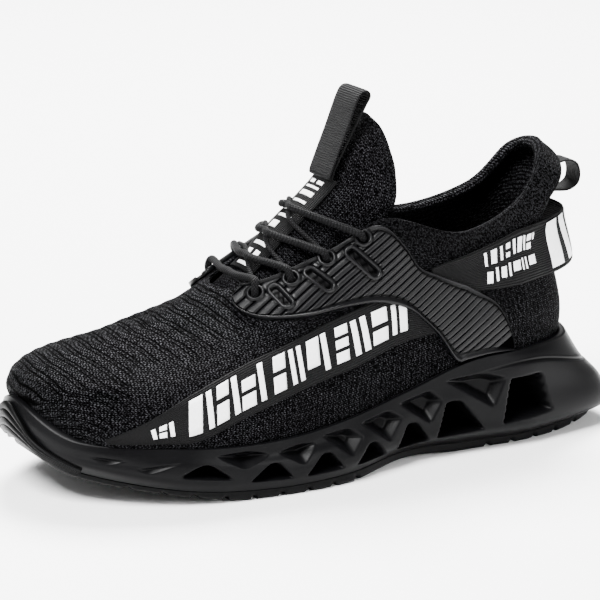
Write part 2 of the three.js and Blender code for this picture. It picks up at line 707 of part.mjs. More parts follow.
function pocketOutline({ front, rise, tip, dip, back, end, crest, top }) {
  return [[front, rise], [crest, top], [back, end], [tip, dip]];
}

// Tapering cut into the flank: square to the sole's edge at the middle of its outline.
function flankCut(outline, side, depth, fall, taper) {
  const shares = outline.length;
  const along = (outline.reduce((sum, [share]) => sum + share, 0) / shares) * SOLE_LENGTH;
  const up = (outline.reduce((sum, [, share]) => sum + share, 0) / shares) * SOLE_HEIGHT;
  const station = stationWhere((turn) => -onSurface(soleRings, turn, FLANK_LEVEL).y, along, side);
  const surface = onSurface(soleRings, station, FLANK_LEVEL);
  const outwards = outward(soleRings, station, FLANK_LEVEL).setZ(0).normalize();
  const ahead = new THREE.Vector3(0, -1, 0).projectOnPlane(outwards).normalize();
  const middle = surface.clone().setZ(up);
  const corners = (scale, reach, drop) => outline.map(([share, level]) => middle.clone()
    .addScaledVector(ahead, (share * SOLE_LENGTH - along) * scale)
    .add(new THREE.Vector3(0, 0, (level * SOLE_HEIGHT - up) * scale - drop))
    .addScaledVector(outwards, reach));
  return prism([corners(1, CUT_OVERRUN, 0), corners(1, 0, 0), corners(taper, -depth, fall)]);
}

// Station on the outer (1) or inner (-1) side whose distance along is the one asked for.
function stationWhere(alongOf, along, side) {
  let low = 0;
  let high = STATIONS / 2;
  for (let i = 0; i < BISECTIONS; i += 1) {
    const middle = (low + high) / 2;
    if (alongOf(side > 0 ? middle : STATIONS - middle) < along) {
      low = middle;
    } else {
      high = middle;
    }
  }
  return side > 0 ? low : STATIONS - low;
}

// Outsole: a slab with grooves right across it under heel and ball, and a ribbed bumper up the toe
function makeOutsole() {
  const outerSide = treadSections();
  const innerSide = outerSide.slice(1, -1).reverse();
  const sections = [
    ...outerSide,
    ...innerSide.map(({ station, cut }) => ({ station: STATIONS - station, cut })),
  ];
  const ground = sections.map(({ station, cut }) => {
    const point = onRing(groundRing, station);
    return point.setZ(Math.max(0, point.z) + cut);
  });
  const top = sections.map(({ station }) => onRing(soleRings[0], station).add(new THREE.Vector3(0, 0, -FIT)));
  return solidFrom(facingOut(loft([ground, top]))).add(makeBumper());
}

// Sections of the tread from heel to toe: its station, and how deep it is cut there
function treadSections() {
  const grooves = GROOVE_ZONES.flatMap(([start, end]) => {
    const count = Math.floor(((end - start) * SOLE_LENGTH) / GROOVE_PITCH);
    return Array.from({ length: count }, (_, i) => start * SOLE_LENGTH + i * GROOVE_PITCH);
  });
  const half = GROOVE_WIDTH / 2;
  const walls = grooves.flatMap((along) => [
    { along: along - half, cut: 0 },
    { along: along - half + GROOVE_SLOPE, cut: GROOVE_DEPTH },
    { along: along + half - GROOVE_SLOPE, cut: GROOVE_DEPTH },
    { along: along + half, cut: 0 },
  ]);
  const cuts = walls.map(({ along, cut }) => ({ station: groundStation(along), along, cut }));
  const plain = evenShares(AROUND / 2)
    .map((share) => (share * STATIONS) / 2)
    .map((station) => ({ station, along: -onRing(groundRing, station).y, cut: 0 }))
    .filter(({ along }) => grooves.every((groove) => Math.abs(along - groove) > GROOVE_WIDTH));
  return [...cuts, ...plain].sort((a, b) => a.station - b.station);
}

function groundStation(along) {
  return stationWhere((station) => -onRing(groundRing, station).y, along, 1);
}

// Bumper: a shell over the toe of the midsole with level ribs, its foot sunk in the slab.
function makeBumper() {
  const rows = curveThrough(BUMPER_ROWS.map((row) => new THREE.Vector3(row.station, row.high, 0)));
  const outer = [];
  const inner = [];
  const slabAt = (station) => onRing(groundRing, station).lerp(onRing(soleRings[0], station), BUMPER_FOOT);
  const toeMiddle = slabAt(BUMPER_ROOTS[0]).lerp(slabAt(BUMPER_ROOTS[1]), 0.5);
  for (let i = 0; i <= BUMPER_STEPS; i += 1) {
    const { x: station, y: high } = rows.getPoint(i / BUMPER_STEPS);
    const foot = slabAt(station);
    const inside = foot.clone().lerp(toeMiddle, BUMPER_SINK);
    const outerCut = [foot.clone().addScaledVector(foot.clone().sub(inside).normalize(), BUMPER_WALL)];
    const innerCut = [inside];
    for (let j = 0; j <= 2 * BUMPER_RIBS; j += 1) {
      const level = (high * j) / (2 * BUMPER_RIBS);
      const rib = j % 2 === 0 ? 0 : BUMPER_RIB * high;
      outerCut.push(lifted(soleRings, station, level, OVERLAY_LIFT + BUMPER_WALL + rib));
      innerCut.push(lifted(soleRings, station, level, OVERLAY_LIFT));
    }
    outer.push(outerCut);
    inner.push(innerCut);
  }
  return solidFrom(facingOut(sheet(outer, inner)));
}

// Insole, inside the foot of the upper and on the floor of the cup
function makeInsole() {
  const rings = [0, INSOLE_THICKNESS].map((rise) => stationsAround().map((station) => {
    const feather = onSurface(upperRings, station, 0).z;
    const level = levelAtHeight(upperRings, station, feather + rise);
    return innerUpper(station, level, INSOLE_GAP).setZ(feather + rise);
  }));
  return solidFrom(facingOut(loft(rings)));
}

// Cross-section of an eyestay, from its low to its high edge: 1 is the crest of the bead.
const EYESTAY_PROFILE = [
  { share: 0, bead: 1 },
  { share: 0.07, bead: 1 },
  { share: 0.11, bead: 0 },
  { share: 0.37, bead: 0 },
  { share: 0.63, bead: 0 },
  { share: 0.89, bead: 0 },
  { share: 0.93, bead: 1 },
  { share: 1, bead: 1 },
];

function beadAt(share) {
  return EYESTAY_PROFILE.find((row) => row.share === share).bead * BEAD_HEIGHT;
}

// Eyestay: raised bead along its edges, eyelets with rings, long slots with rings.
function makeEyestay(mirror) {
  let solid = band(upperRings, EYESTAY_ROWS, {
    steps: EYESTAY_STEPS,
    across: EYESTAY_PROFILE.map((row) => row.share),
    lift: () => OVERLAY_LIFT,
    thickness: (_, share) => EYESTAY_THICKNESS + beadAt(share),
    mirror,
  });
  const top = OVERLAY_LIFT + EYESTAY_THICKNESS + RING_HEIGHT;
  for (const [first, last, radius] of openings(mirror)) {
    solid = solid.add(capsule(first, last, radius + RING_WIDTH, OVERLAY_LIFT + RING_SINK, top));
  }
  for (const [first, last, radius] of openings(mirror)) {
    solid = solid.subtract(capsule(first, last, radius, -PLUG_REACH, PLUG_REACH));
  }
  return solid;
}

// Eyelets and slots of one side, as the two ends of a capsule and its radius
function openings(mirror) {
  const turn = (station) => (mirror ? STATIONS - station : station);
  const eyelets = EYELETS.map(({ station, level }) => {
    const centre = { station: turn(station), level };
    return [centre, centre, EYELET_RADIUS];
  });
  const slots = SLOTS.map(({ station, level, endStation, endLevel }) => [
    { station: turn(station), level },
    { station: turn(endStation), level: endLevel },
    SLOT_RADIUS,
  ]);
  return [...eyelets, ...slots];
}

// Room that an eyestay takes, with the fit round it, to trim what ends at its edge
function eyestayRoom(mirror) {
  const rows = EYESTAY_ROWS.map((row, i) => ({
    station: row.station - (i === 0 ? 2 * TRIM_MARGIN : 0),
    low: row.low - TRIM_MARGIN,
    high: row.high + TRIM_MARGIN,
  }));
  return band(upperRings, rows, {
    steps: EYESTAY_STEPS + 4,
    across: evenShares(2),
    lift: () => -KNIT_WALL,
    thickness: () => 4 * KNIT_WALL,
    mirror,
  });
}

function makeSideTape(mirror) {
  const tape = band(upperRings, SIDE_TAPE_ROWS, {
    steps: SIDE_TAPE_STEPS,
    across: evenShares(3),
    lift: () => OVERLAY_LIFT,
    thickness: () => TAPE_THICKNESS,
    mirror,
  });
  return largest(tape.subtract(eyestayRoom(mirror)));
}

// Strap round the heel, standing off behind it
function makeHeelStrap() {
  const standoff = (station) => {
    const rooted = smooth(STRAP_FREE_STATION, STRAP_ROOT_STATION, Math.abs(station));
    return OVERLAY_LIFT + STRAP_STANDOFF * (1 - rooted);
  };
  const strap = band(upperRings, STRAP_ROWS, {
    steps: STRAP_STEPS,
    across: evenShares(2),
    lift: standoff,
    thickness: () => TAPE_THICKNESS,
  });
  return largest(strap.subtract(eyestayRoom(false)).subtract(eyestayRoom(true)));
}

function largest(solid) {
  return solid.decompose().sort((a, b) => b.volume() - a.volume())[0];
}

// Height of the sole's rim at a distance along
function rimHeight(along) {
  return onRing(rimRing, stationWhere((station) => -onRing(rimRing, station).y, along, 1)).z;
}

const tongueLine = curveThrough(TONGUE_ROWS.map((row) => {
  const along = row.along * SOLE_LENGTH;
  return new THREE.Vector3(along, rimHeight(along) + row.up * INSTEP_HEIGHT, row.half * BALL_WIDTH);
}));
const tongueBend = curveThrough(TONGUE_ROWS.map((row) => (
  new THREE.Vector3(row.back * SOLE_LENGTH, row.down * INSTEP_HEIGHT, 0))));

// Outer face of the tongue: row counts from its front, turn goes from -1 to 1 across it.
function onTongue(row, turn) {
  const share = row / (TONGUE_ROWS.length - 1);
  const line = tongueLine.getPoint(share);
  const bend = tongueBend.getPoint(share);
  const angle = (turn * Math.PI) / 2;
  const fall = 1 - Math.cos(angle);
  return place(line.x - bend.x * fall, TONGUE_SHIFT + line.z * Math.sin(angle), line.y - bend.y * fall);
}

function tongueNormal(row, turn) {
  const last = TONGUE_ROWS.length - 1;
  const below = onTongue(Math.max(0, row - ROW_STEP), turn);
  const rise = onTongue(Math.min(last, row + ROW_STEP), turn).sub(below);
  const inwards = onTongue(row, Math.max(-1, turn - ROW_STEP));
  const span = onTongue(row, Math.min(1, turn + ROW_STEP)).sub(inwards);
  return span.cross(rise).normalize();
}

function overTongue(row, turn, lift) {
  return onTongue(row, turn).addScaledVector(tongueNormal(row, turn), lift);
}

function makeTongue() {
  const last = TONGUE_ROWS.length - 1;
  const turns = evenShares(TONGUE_TURNS).map((share) => 2 * share - 1);
  const columns = evenShares(TONGUE_STEPS).map((share) => share * last);
  const thickness = (row) => THREE.MathUtils.lerp(
    TONGUE_WALL, TONGUE_TIP_WALL, smooth(last - TONGUE_TIP_ROWS, last, row));
  const outer = columns.map((row) => turns.map((turn) => onTongue(row, turn)));
  const inner = columns.map((row) => turns.map((turn) => overTongue(row, turn, -thickness(row))));
  return solidFrom(facingOut(sheet(outer, inner)));
}

// Turn across the tongue at which it is a distance from its middle
function tongueTurn(row, distance) {
  const half = tongueLine.getPoint(row / (TONGUE_ROWS.length - 1)).z;
  return (Math.asin(THREE.MathUtils.clamp(distance / half, -1, 1)) * 2) / Math.PI;
}

// Webbing down the middle of the tongue, ending in a stitched pull loop
function makeTongueTape() {
  const half = TONGUE_TAPE_WIDTH / 2;
  const rows = evenShares(TONGUE_TAPE_STEPS)
    .map((share) => TAPE_ROWS.front + share * (TAPE_ROWS.stitch - TAPE_ROWS.front));
  const cut = (row, lift) => evenShares(4).map((share) => {
    const distance = half * (2 * share - 1);
    return overTongue(row, tongueTurn(row, distance), lift);
  });
  const outer = rows.map((row) => cut(row, OVERLAY_LIFT + TAPE_THICKNESS));
  const inner = rows.map((row) => cut(row, OVERLAY_LIFT));
  const tape = solidFrom(facingOut(sheet(outer, inner)));
  const stitch = overTongue(TAPE_ROWS.stitch, 0, OVERLAY_LIFT + TAPE_THICKNESS);
  const loop = TONGUE_LOOP_ROWS.map((row) => new THREE.Vector2(
    -stitch.y + row.ahead * TONGUE_LOOP_HEIGHT, stitch.z + row.up * TONGUE_LOOP_HEIGHT));
  return tape.add(ribbon(loop, TONGUE_LOOP_STEPS, TONGUE_SHIFT, TONGUE_TAPE_WIDTH));
}

// Closed ribbon of webbing, seen from the side as a loop through the given points
function ribbon(points, steps, across, width) {
  const curve = curveThrough(points.map((point) => new THREE.Vector3(point.x, point.y, 0)), true);
  const outer = [];
  const inner = [];
  for (let i = 0; i < steps; i += 1) {
    const point = curve.getPoint(i / steps);
    const tangent = curve.getTangent(i / steps);
    const inside = point.clone().addScaledVector(new THREE.Vector3(-tangent.y, tangent.x, 0), TAPE_THICKNESS);
    const edges = [across - width / 2, across + width / 2];
    outer.push(edges.map((edge) => place(point.x, edge, point.y)));
    inner.push(edges.map((edge) => place(inside.x, edge, inside.y)));
  }
  return solidFrom(facingOut(sheet(outer, inner, true)));
}

// Webbing loop at the back of the heel tab
function makeHeelLoop() {
  const onHeel = HEEL_LOOP_LEVELS.map((level) => {
    const point = lifted(upperRings, 0, level, HEEL_LOOP_GAP);
    return new THREE.Vector2(-point.y, point.z);
  });
  const root = onHeel[onHeel.length - 1];
  const free = HEEL_LOOP_ROWS.map((row) => new THREE.Vector2(
    root.x - row.back * HEEL_LOOP_DEPTH, root.y + row.up * HEEL_LOOP_DEPTH));
  return ribbon([...onHeel, ...free], HEEL_LOOP_STEPS, 0, HEEL_LOOP_WIDTH);
}

// Round cord through points, with ends square to its way
function cord(points, radius) {
  const outline = new THREE.Shape(Array.from({ length: LACE_SIDES }, (_, i) => {
    const angle = (i * 2 * Math.PI) / LACE_SIDES;
    return new THREE.Vector2(radius * Math.cos(angle), radius * Math.sin(angle));
  }));
  const extrudePath = new THREE.CatmullRomCurve3(points);
  return solidFrom(new THREE.ExtrudeGeometry(outline, { steps: LACE_STEPS, extrudePath, curveSegments: 1 }));
}

// Bars from side to side over the tongue, and the crossings from each to the next, in one piece
function makeLaces() {
  const overEyestay = OVERLAY_LIFT + EYESTAY_THICKNESS + RING_HEIGHT + LACE_RADIUS + LACE_GAP;
  const overTape = OVERLAY_LIFT + TAPE_THICKNESS + LACE_RADIUS + LACE_GAP;
  const end = ({ station, level }, mirror) => lifted(
    upperRings, mirror ? STATIONS - station : station, level, overEyestay);
  const edge = ({ station }, mirror) => lifted(
    upperRings, mirror ? STATIONS - station : station, 1, overEyestay + BEAD_HEIGHT);
  let solid;
  EYELETS.forEach((eyelet, i) => {
    const bar = [
      end(eyelet, false),
      edge(eyelet, false),
      overTongue(eyelet.crossing, LACE_TURN, overTape),
      overTongue(eyelet.crossing, 0, overTape),
      overTongue(eyelet.crossing, -LACE_TURN, overTape),
      edge(eyelet, true),
      end(eyelet, true),
    ];
    const tube = cord(bar, LACE_RADIUS);
    solid = solid ? solid.add(tube) : tube;
    const next = EYELETS[i + 1];
    if (next) {
      const between = (eyelet.crossing + next.crossing) / 2;
      const crossing = [
        edge(eyelet, false),
        overTongue(between, CROSS_LACE_TURN, overTape),
        overTongue(between, -CROSS_LACE_TURN, overTape),
        edge(next, true),
      ];
      solid = solid.add(cord(crossing, CROSS_LACE_RADIUS));
    }
  });
  return solid;
}

// Lace holes through the knit under the eyelets
function pierced(upper) {
  let solid = upper;
  for (const mirror of [false, true]) {
    for (const [first, last, radius] of openings(mirror).slice(0, EYELETS.length)) {
      solid = solid.subtract(capsule(first, last, radius, -PLUG_REACH, PLUG_REACH));
    }
  }
  return solid;
}

const knit = { color: 0x1c1c1e, roughness: 0.92, metalness: 0 };
const webbing = { color: 0x161617, roughness: 0.8, metalness: 0 };
const moulded = { color: 0x242426, roughness: 0.5, metalness: 0 };
const foam = { color: 0x202022, roughness: 0.6, metalness: 0 };
const rubber = { color: 0x141415, roughness: 0.7, metalness: 0 };

const shoe = new THREE.Group();

function addPiece(name, solid, finish) {
  const mesh = new THREE.Mesh(geometryOf(solid), new THREE.MeshStandardMaterial(finish));
  mesh.name = name;
  shoe.add(mesh);
}

addPiece('outsole', makeOutsole(), rubber);
addPiece('midsole', makeMidsole(), foam);
addPiece('upper', pierced(makeUpper()), knit);
addPiece('insole', makeInsole(), knit);
addPiece('tongue', makeTongue(), knit);
addPiece('tongue_tape', makeTongueTape(), webbing);
addPiece('eyestay_outer', makeEyestay(false), moulded);
addPiece('eyestay_inner', makeEyestay(true), moulded);
addPiece('side_tape_outer', makeSideTape(false), webbing);
addPiece('side_tape_inner', makeSideTape(true), webbing);
addPiece('heel_strap', makeHeelStrap(), webbing);
addPiece('heel_loop', makeHeelLoop(), webbing);
addPiece('laces', makeLaces(), webbing);

// The origin is on the floor, under the middle of the shoe.
const extent = new THREE.Box3().setFromObject(shoe);
const middle = extent.getCenter(new THREE.Vector3());
shoe.position.set(-middle.x, -middle.y, -extent.min.z);

export default shoe;
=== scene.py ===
"""Low lace-up safety sneaker for the left foot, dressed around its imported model.

All lengths are metres. The toe points along -Y, the outer side faces +X and the floor is z = 0.
A place is given as along (from the back of the sole), across (+ to the outer side) and up.
"""

from math import pi, radians

import bmesh
import bpy
import numpy as np
from bpy.props import FloatProperty, FloatVectorProperty, PointerProperty
from mathutils import Matrix, Vector


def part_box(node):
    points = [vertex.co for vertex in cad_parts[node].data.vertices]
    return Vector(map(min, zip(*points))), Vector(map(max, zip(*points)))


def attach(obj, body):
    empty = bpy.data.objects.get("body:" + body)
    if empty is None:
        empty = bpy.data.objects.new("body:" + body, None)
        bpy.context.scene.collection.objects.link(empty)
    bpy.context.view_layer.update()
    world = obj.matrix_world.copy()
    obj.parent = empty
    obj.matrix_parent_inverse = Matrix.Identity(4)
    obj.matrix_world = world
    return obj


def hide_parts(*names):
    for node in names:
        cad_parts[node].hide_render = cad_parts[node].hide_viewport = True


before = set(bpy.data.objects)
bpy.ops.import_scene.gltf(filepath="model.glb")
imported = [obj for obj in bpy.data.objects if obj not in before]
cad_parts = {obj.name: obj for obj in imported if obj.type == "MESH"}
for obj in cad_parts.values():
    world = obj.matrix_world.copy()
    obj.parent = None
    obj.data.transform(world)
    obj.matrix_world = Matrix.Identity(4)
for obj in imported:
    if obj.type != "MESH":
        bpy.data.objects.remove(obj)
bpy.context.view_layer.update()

bl_info = {
    "name": "Safety sneaker",
    "version": (1, 0, 0),
    "blender": (4, 5, 0),
    "location": "3D View > Sidebar > Sneaker",
    "description": "Builds a low knit safety sneaker piece by piece",
    "category": "Add Mesh",
}

# A ring runs round the shoe in stations: 0 at the heel, 9 at the toe tip, 10 to 17 back along
# the inner side. Each row of a level is (along, lateral, medial, up), from heel to toe: along is
# a share of the sole's length, lateral and medial of the ball width.
STATIONS = 18
UPPER_LEVELS = {
    "feather": [
        (0.087, 0, 0, 0), (0.11, 0.231, 0.221, 0), (0.194, 0.365, 0.337, 0),
        (0.303, 0.394, 0.356, 0), (0.413, 0.413, 0.346, 0), (0.532, 0.471, 0.385, 0),
        (0.665, 0.51, 0.462, 0), (0.797, 0.471, 0.5, 0), (0.916, 0.298, 0.375, 0),
        (0.968, -0.058, 0.058, 0),
    ],
    "wall": [
        (0.084, 0, 0, 0.14), (0.106, 0.231, 0.221, 0.15), (0.19, 0.365, 0.337, 0.155),
        (0.303, 0.404, 0.365, 0.16), (0.413, 0.423, 0.356, 0.223), (0.532, 0.481, 0.404, 0.217),
        (0.665, 0.519, 0.471, 0.191), (0.8, 0.481, 0.5, 0.173), (0.93, 0.298, 0.375, 0.115),
        (0.981, -0.058, 0.058, 0.076),
    ],
    "shoulder": [
        (0.1, 0, 0, 0.405), (0.119, 0.212, 0.192, 0.395), (0.19, 0.337, 0.308, 0.345),
        (0.3, 0.385, 0.346, 0.317), (0.413, 0.413, 0.365, 0.478), (0.529, 0.442, 0.394, 0.459),
        (0.658, 0.462, 0.433, 0.408), (0.787, 0.413, 0.442, 0.351), (0.906, 0.26, 0.337, 0.315),
        (0.958, -0.058, 0.058, 0.178),
    ],
    "crown": [
        (0.113, 0, 0, 0.672), (0.132, 0.192, 0.173, 0.639), (0.19, 0.298, 0.269, 0.511),
        (0.297, 0.365, 0.327, 0.472), (0.416, 0.385, 0.346, 0.694), (0.526, 0.385, 0.356, 0.662),
        (0.645, 0.375, 0.365, 0.573), (0.761, 0.279, 0.317, 0.491), (0.839, 0.135, 0.212, 0.418),
        (0.871, -0.048, 0.048, 0.242),
    ],
    "collar": [
        (0.081, 0, 0, 0.883), (0.106, 0.212, 0.183, 0.839), (0.184, 0.279, 0.25, 0.656),
        (0.3, 0.356, 0.317, 0.583), (0.419, 0.346, 0.317, 0.86), (0.523, 0.317, 0.298, 0.815),
        (0.632, 0.279, 0.279, 0.688), (0.71, 0.163, 0.192, 0.6), (0.748, 0.067, 0.106, 0.526),
        (0.761, -0.029, 0.029, 0.338),
    ],
    "top line": [
        (0.106, 0, 0, 0.994), (0.129, 0.154, 0.135, 0.95), (0.187, 0.24, 0.212, 0.744),
        (0.303, 0.317, 0.279, 0.661), (0.426, 0.298, 0.279, 1), (0.513, 0.25, 0.24, 0.943),
        (0.606, 0.192, 0.192, 0.828), (0.652, 0.125, 0.125, 0.759), (0.665, 0.058, 0.067, 0.698),
        (0.668, -0.01, 0.01, 0.522),
    ],
}
# Up is a share of the sole's height here and in the tread's edge.
SOLE_LEVELS = {
    "underside": [
        (0.023, 0, 0, 0.146), (0.048, 0.25, 0.24, 0.125), (0.181, 0.385, 0.356, 0.09),
        (0.303, 0.394, 0.346, 0.1), (0.413, 0.413, 0.327, 0.125), (0.542, 0.548, 0.365, 0.1),
        (0.671, 0.558, 0.471, 0.09), (0.806, 0.49, 0.529, 0.167), (0.934, 0.232, 0.335, 0.33),
        (0.968, -0.058, 0.058, 0.5),
    ],
    "widest line": [
        (0.003, 0, 0, 0.25), (0.029, 0.308, 0.288, 0.229), (0.181, 0.442, 0.413, 0.229),
        (0.303, 0.452, 0.394, 0.25), (0.413, 0.462, 0.375, 0.25), (0.542, 0.567, 0.413, 0.229),
        (0.671, 0.577, 0.51, 0.208), (0.81, 0.51, 0.548, 0.271), (0.939, 0.275, 0.375, 0.43),
        (0.985, -0.058, 0.058, 0.604),
    ],
    "middle of the flank": [
        (0.019, 0, 0, 0.458), (0.045, 0.298, 0.279, 0.479), (0.184, 0.433, 0.404, 0.521),
        (0.303, 0.452, 0.394, 0.542), (0.413, 0.462, 0.375, 0.458), (0.542, 0.548, 0.413, 0.375),
        (0.668, 0.567, 0.5, 0.333), (0.806, 0.51, 0.538, 0.396), (0.94, 0.277, 0.37, 0.5),
        (0.989, -0.058, 0.058, 0.708),
    ],
    "ledge": [
        (0.048, 0, 0, 0.646), (0.071, 0.269, 0.25, 0.688), (0.187, 0.413, 0.385, 0.854),
        (0.303, 0.433, 0.385, 0.792), (0.413, 0.452, 0.365, 0.604), (0.539, 0.519, 0.404, 0.479),
        (0.668, 0.548, 0.49, 0.417), (0.803, 0.5, 0.529, 0.479), (0.94, 0.282, 0.375, 0.56),
        (0.989, -0.058, 0.058, 0.813),
    ],
    "rim": [
        (0.077, 0, 0, 0.99), (0.1, 0.26, 0.24, 0.969), (0.19, 0.394, 0.365, 0.958),
        (0.303, 0.423, 0.385, 0.927), (0.413, 0.442, 0.365, 0.74), (0.539, 0.5, 0.404, 0.583),
        (0.665, 0.538, 0.49, 0.521), (0.8, 0.49, 0.529, 0.55), (0.94, 0.276, 0.362, 0.63),
        (0.984, -0.058, 0.058, 0.917),
    ],
}
TREAD_EDGE = [
    (0.032, 0, 0, 0.083), (0.055, 0.231, 0.221, 0.042), (0.181, 0.365, 0.346, -0.021),
    (0.303, 0.375, 0.327, -0.006), (0.413, 0.394, 0.308, 0.042), (0.542, 0.538, 0.346, -0.006),
    (0.671, 0.548, 0.452, -0.021), (0.806, 0.462, 0.5, 0.094), (0.93, 0.212, 0.305, 0.25),
    (0.966, -0.058, 0.058, 0.42),
]
# Rows of the upper from this one on lie in front of the ankle.
FOREPART_ROW = 4

# Tongue from front to tip: along and back are shares of the sole's length, half of the ball
# width, up and down of the instep height.
TONGUE_ROWS = [
    {"along": 0.723, "up": 0.575, "half": 0.231, "back": 0.013, "down": 0.127},
    {"along": 0.668, "up": 0.707, "half": 0.212, "back": 0.013, "down": 0.153},
    {"along": 0.613, "up": 0.841, "half": 0.231, "back": 0.019, "down": 0.204},
    {"along": 0.558, "up": 1.028, "half": 0.225, "back": 0.026, "down": 0.28},
    {"along": 0.51, "up": 1.157, "half": 0.228, "back": 0.045, "down": 0.26},
    {"along": 0.477, "up": 1.259, "half": 0.232, "back": 0.077, "down": 0.19},
    {"along": 0.458, "up": 1.371, "half": 0.212, "back": 0.068, "down": 0.102},
    {"along": 0.435, "up": 1.473, "half": 0.154, "back": 0.045, "down": 0.076},
    {"along": 0.419, "up": 1.54, "half": 0.087, "back": 0.026, "down": 0.051},
    {"along": 0.413, "up": 1.567, "half": 0.029, "back": 0.006, "down": 0.013},
]
TONGUE_SHIFT = -0.001
TAPE_FRONT_ROW = 1.9
TAPE_STITCH_ROW = 4.95

# Outlines on a surface: station, then the low and the high edge as shares of the way up it.
EYESTAY_ROWS = [
    (2.3, 0.06, 0.08), (2.4, 0.06, 0.18), (2.65, 0.06, 0.36), (3.05, 0.06, 0.5),
    (3.25, 0.08, 0.54), (3.55, 0.24, 0.585), (3.8, 0.34, 0.64), (3.95, 0.39, 0.8),
    (4.15, 0.44, 0.97), (4.5, 0.51, 1), (4.9, 0.56, 1), (5.4, 0.6, 1), (5.9, 0.69, 1),
    (6.4, 0.83, 1), (6.75, 0.93, 1),
]
SIDE_TAPE_ROWS = [
    (3.3, 0.24, 0.4), (4.05, 0.265, 0.5), (4.9, 0.26, 0.53), (5.6, 0.25, 0.51),
    (6.25, 0.19, 0.46), (6.85, 0.09, 0.35), (7.3, 0.09, 0.22), (7.75, 0.095, 0.12),
]
STRAP_ROWS = [
    (-3.6, 0.5, 0.62), (-2.95, 0.455, 0.76), (-2.3, 0.405, 0.775), (-1.9, 0.39, 0.73),
    (-1.25, 0.365, 0.635), (0, 0.355, 0.58), (1.25, 0.365, 0.635), (1.9, 0.39, 0.73),
    (2.3, 0.405, 0.775), (2.95, 0.455, 0.76), (3.6, 0.5, 0.62),
]
# The toe bumper starts at the sole's lowest level, so its rows are station and high edge.
BUMPER_ROWS = [
    (7.9, 0.14), (8.2, 0.27), (8.48, 0.45), (8.7, 0.74), (9, 0.9), (9.3, 0.74), (9.52, 0.45),
    (9.8, 0.27), (10.1, 0.14),
]

# Eyelets from the toe end up: station, level, and the row of the tongue that their bar crosses
EYELETS = [(6.2, 0.92, 1.65), (5.6, 0.92, 2.2), (5.08, 0.94, 2.8), (4.47, 0.94, 3.55)]
SLOTS = [((5.84, 0.89), (5.66, 0.76)), ((5.32, 0.89), (5.1, 0.74)), ((4.69, 0.88), (4.44, 0.68))]

# Openings in the flank: corners as (share of the sole's length, share of its height)
HOLES = [
    [(0.808, 0.3), (0.775, 0.405), (0.765, 0.405), (0.73, 0.235)],
    [(0.704, 0.19), (0.67, 0.34), (0.658, 0.34), (0.634, 0.17)],
    [(0.613, 0.17), (0.583, 0.35), (0.569, 0.35), (0.547, 0.175)],
    [(0.523, 0.17), (0.497, 0.35), (0.483, 0.35), (0.462, 0.185)],
    [(0.44, 0.19), (0.42, 0.43), (0.404, 0.43), (0.378, 0.215)],
    [(0.366, 0.22), (0.35, 0.57), (0.326, 0.57), (0.282, 0.235)],
    [(0.25, 0.26), (0.235, 0.7), (0.175, 0.7), (0.157, 0.31)],
]
POCKETS = [
    [(0.938, 0.545), (0.9, 0.5), (0.862, 0.487), (0.9, 0.435)],
    [(0.866, 0.4), (0.83, 0.43), (0.787, 0.465), (0.85, 0.345)],
    [(0.754, 0.47), (0.7, 0.48), (0.668, 0.42), (0.712, 0.32)],
    [(0.655, 0.42), (0.62, 0.47), (0.59, 0.45), (0.616, 0.28)],
    [(0.578, 0.5), (0.53, 0.52), (0.508, 0.42), (0.532, 0.27)],
    [(0.507, 0.54), (0.455, 0.6), (0.43, 0.5), (0.455, 0.3)],
    [(0.434, 0.64), (0.378, 0.71), (0.358, 0.6), (0.379, 0.39)],
    [(0.351, 0.78), (0.28, 0.8), (0.245, 0.72), (0.267, 0.45)],
]
GROOVE_ZONES = [(0.09, 0.32), (0.52, 0.93)]

# Pull loops seen from the side, as shares of their own height or depth
TONGUE_LOOP = [
    (0.03, 0.01), (-0.05, 0.22), (-0.18, 0.53), (-0.3, 0.83), (-0.37, 0.93), (-0.455, 0.94),
    (-0.49, 0.87), (-0.43, 0.76), (-0.31, 0.55), (-0.16, 0.28), (-0.06, 0.1), (-0.01, -0.02),
]
HEEL_LOOP = [
    (0.14, 0.08), (0.6, 0.12), (0.93, -0.05), (1.05, -0.42), (0.96, -0.78), (0.6, -0.98), (0.1, -0.97),
]
HEEL_LOOP_LEVELS = (0.64, 0.7, 0.765)

# Soft troughs of the knit: centre (station, level), half extents in both, depth in metres
CREASES = [
    ((0.9, 0.72), (1.0, 0.035), 0.0009), ((17.1, 0.72), (1.0, 0.035), 0.0009),
    ((3.9, 0.86), (0.25, 0.1), 0.0008), ((14.1, 0.86), (0.25, 0.1), 0.0008),
    ((7.4, 0.62), (0.16, 0.25), 0.0007), ((10.6, 0.62), (0.16, 0.25), 0.0007),
]


# Sizes and colours that a user would change

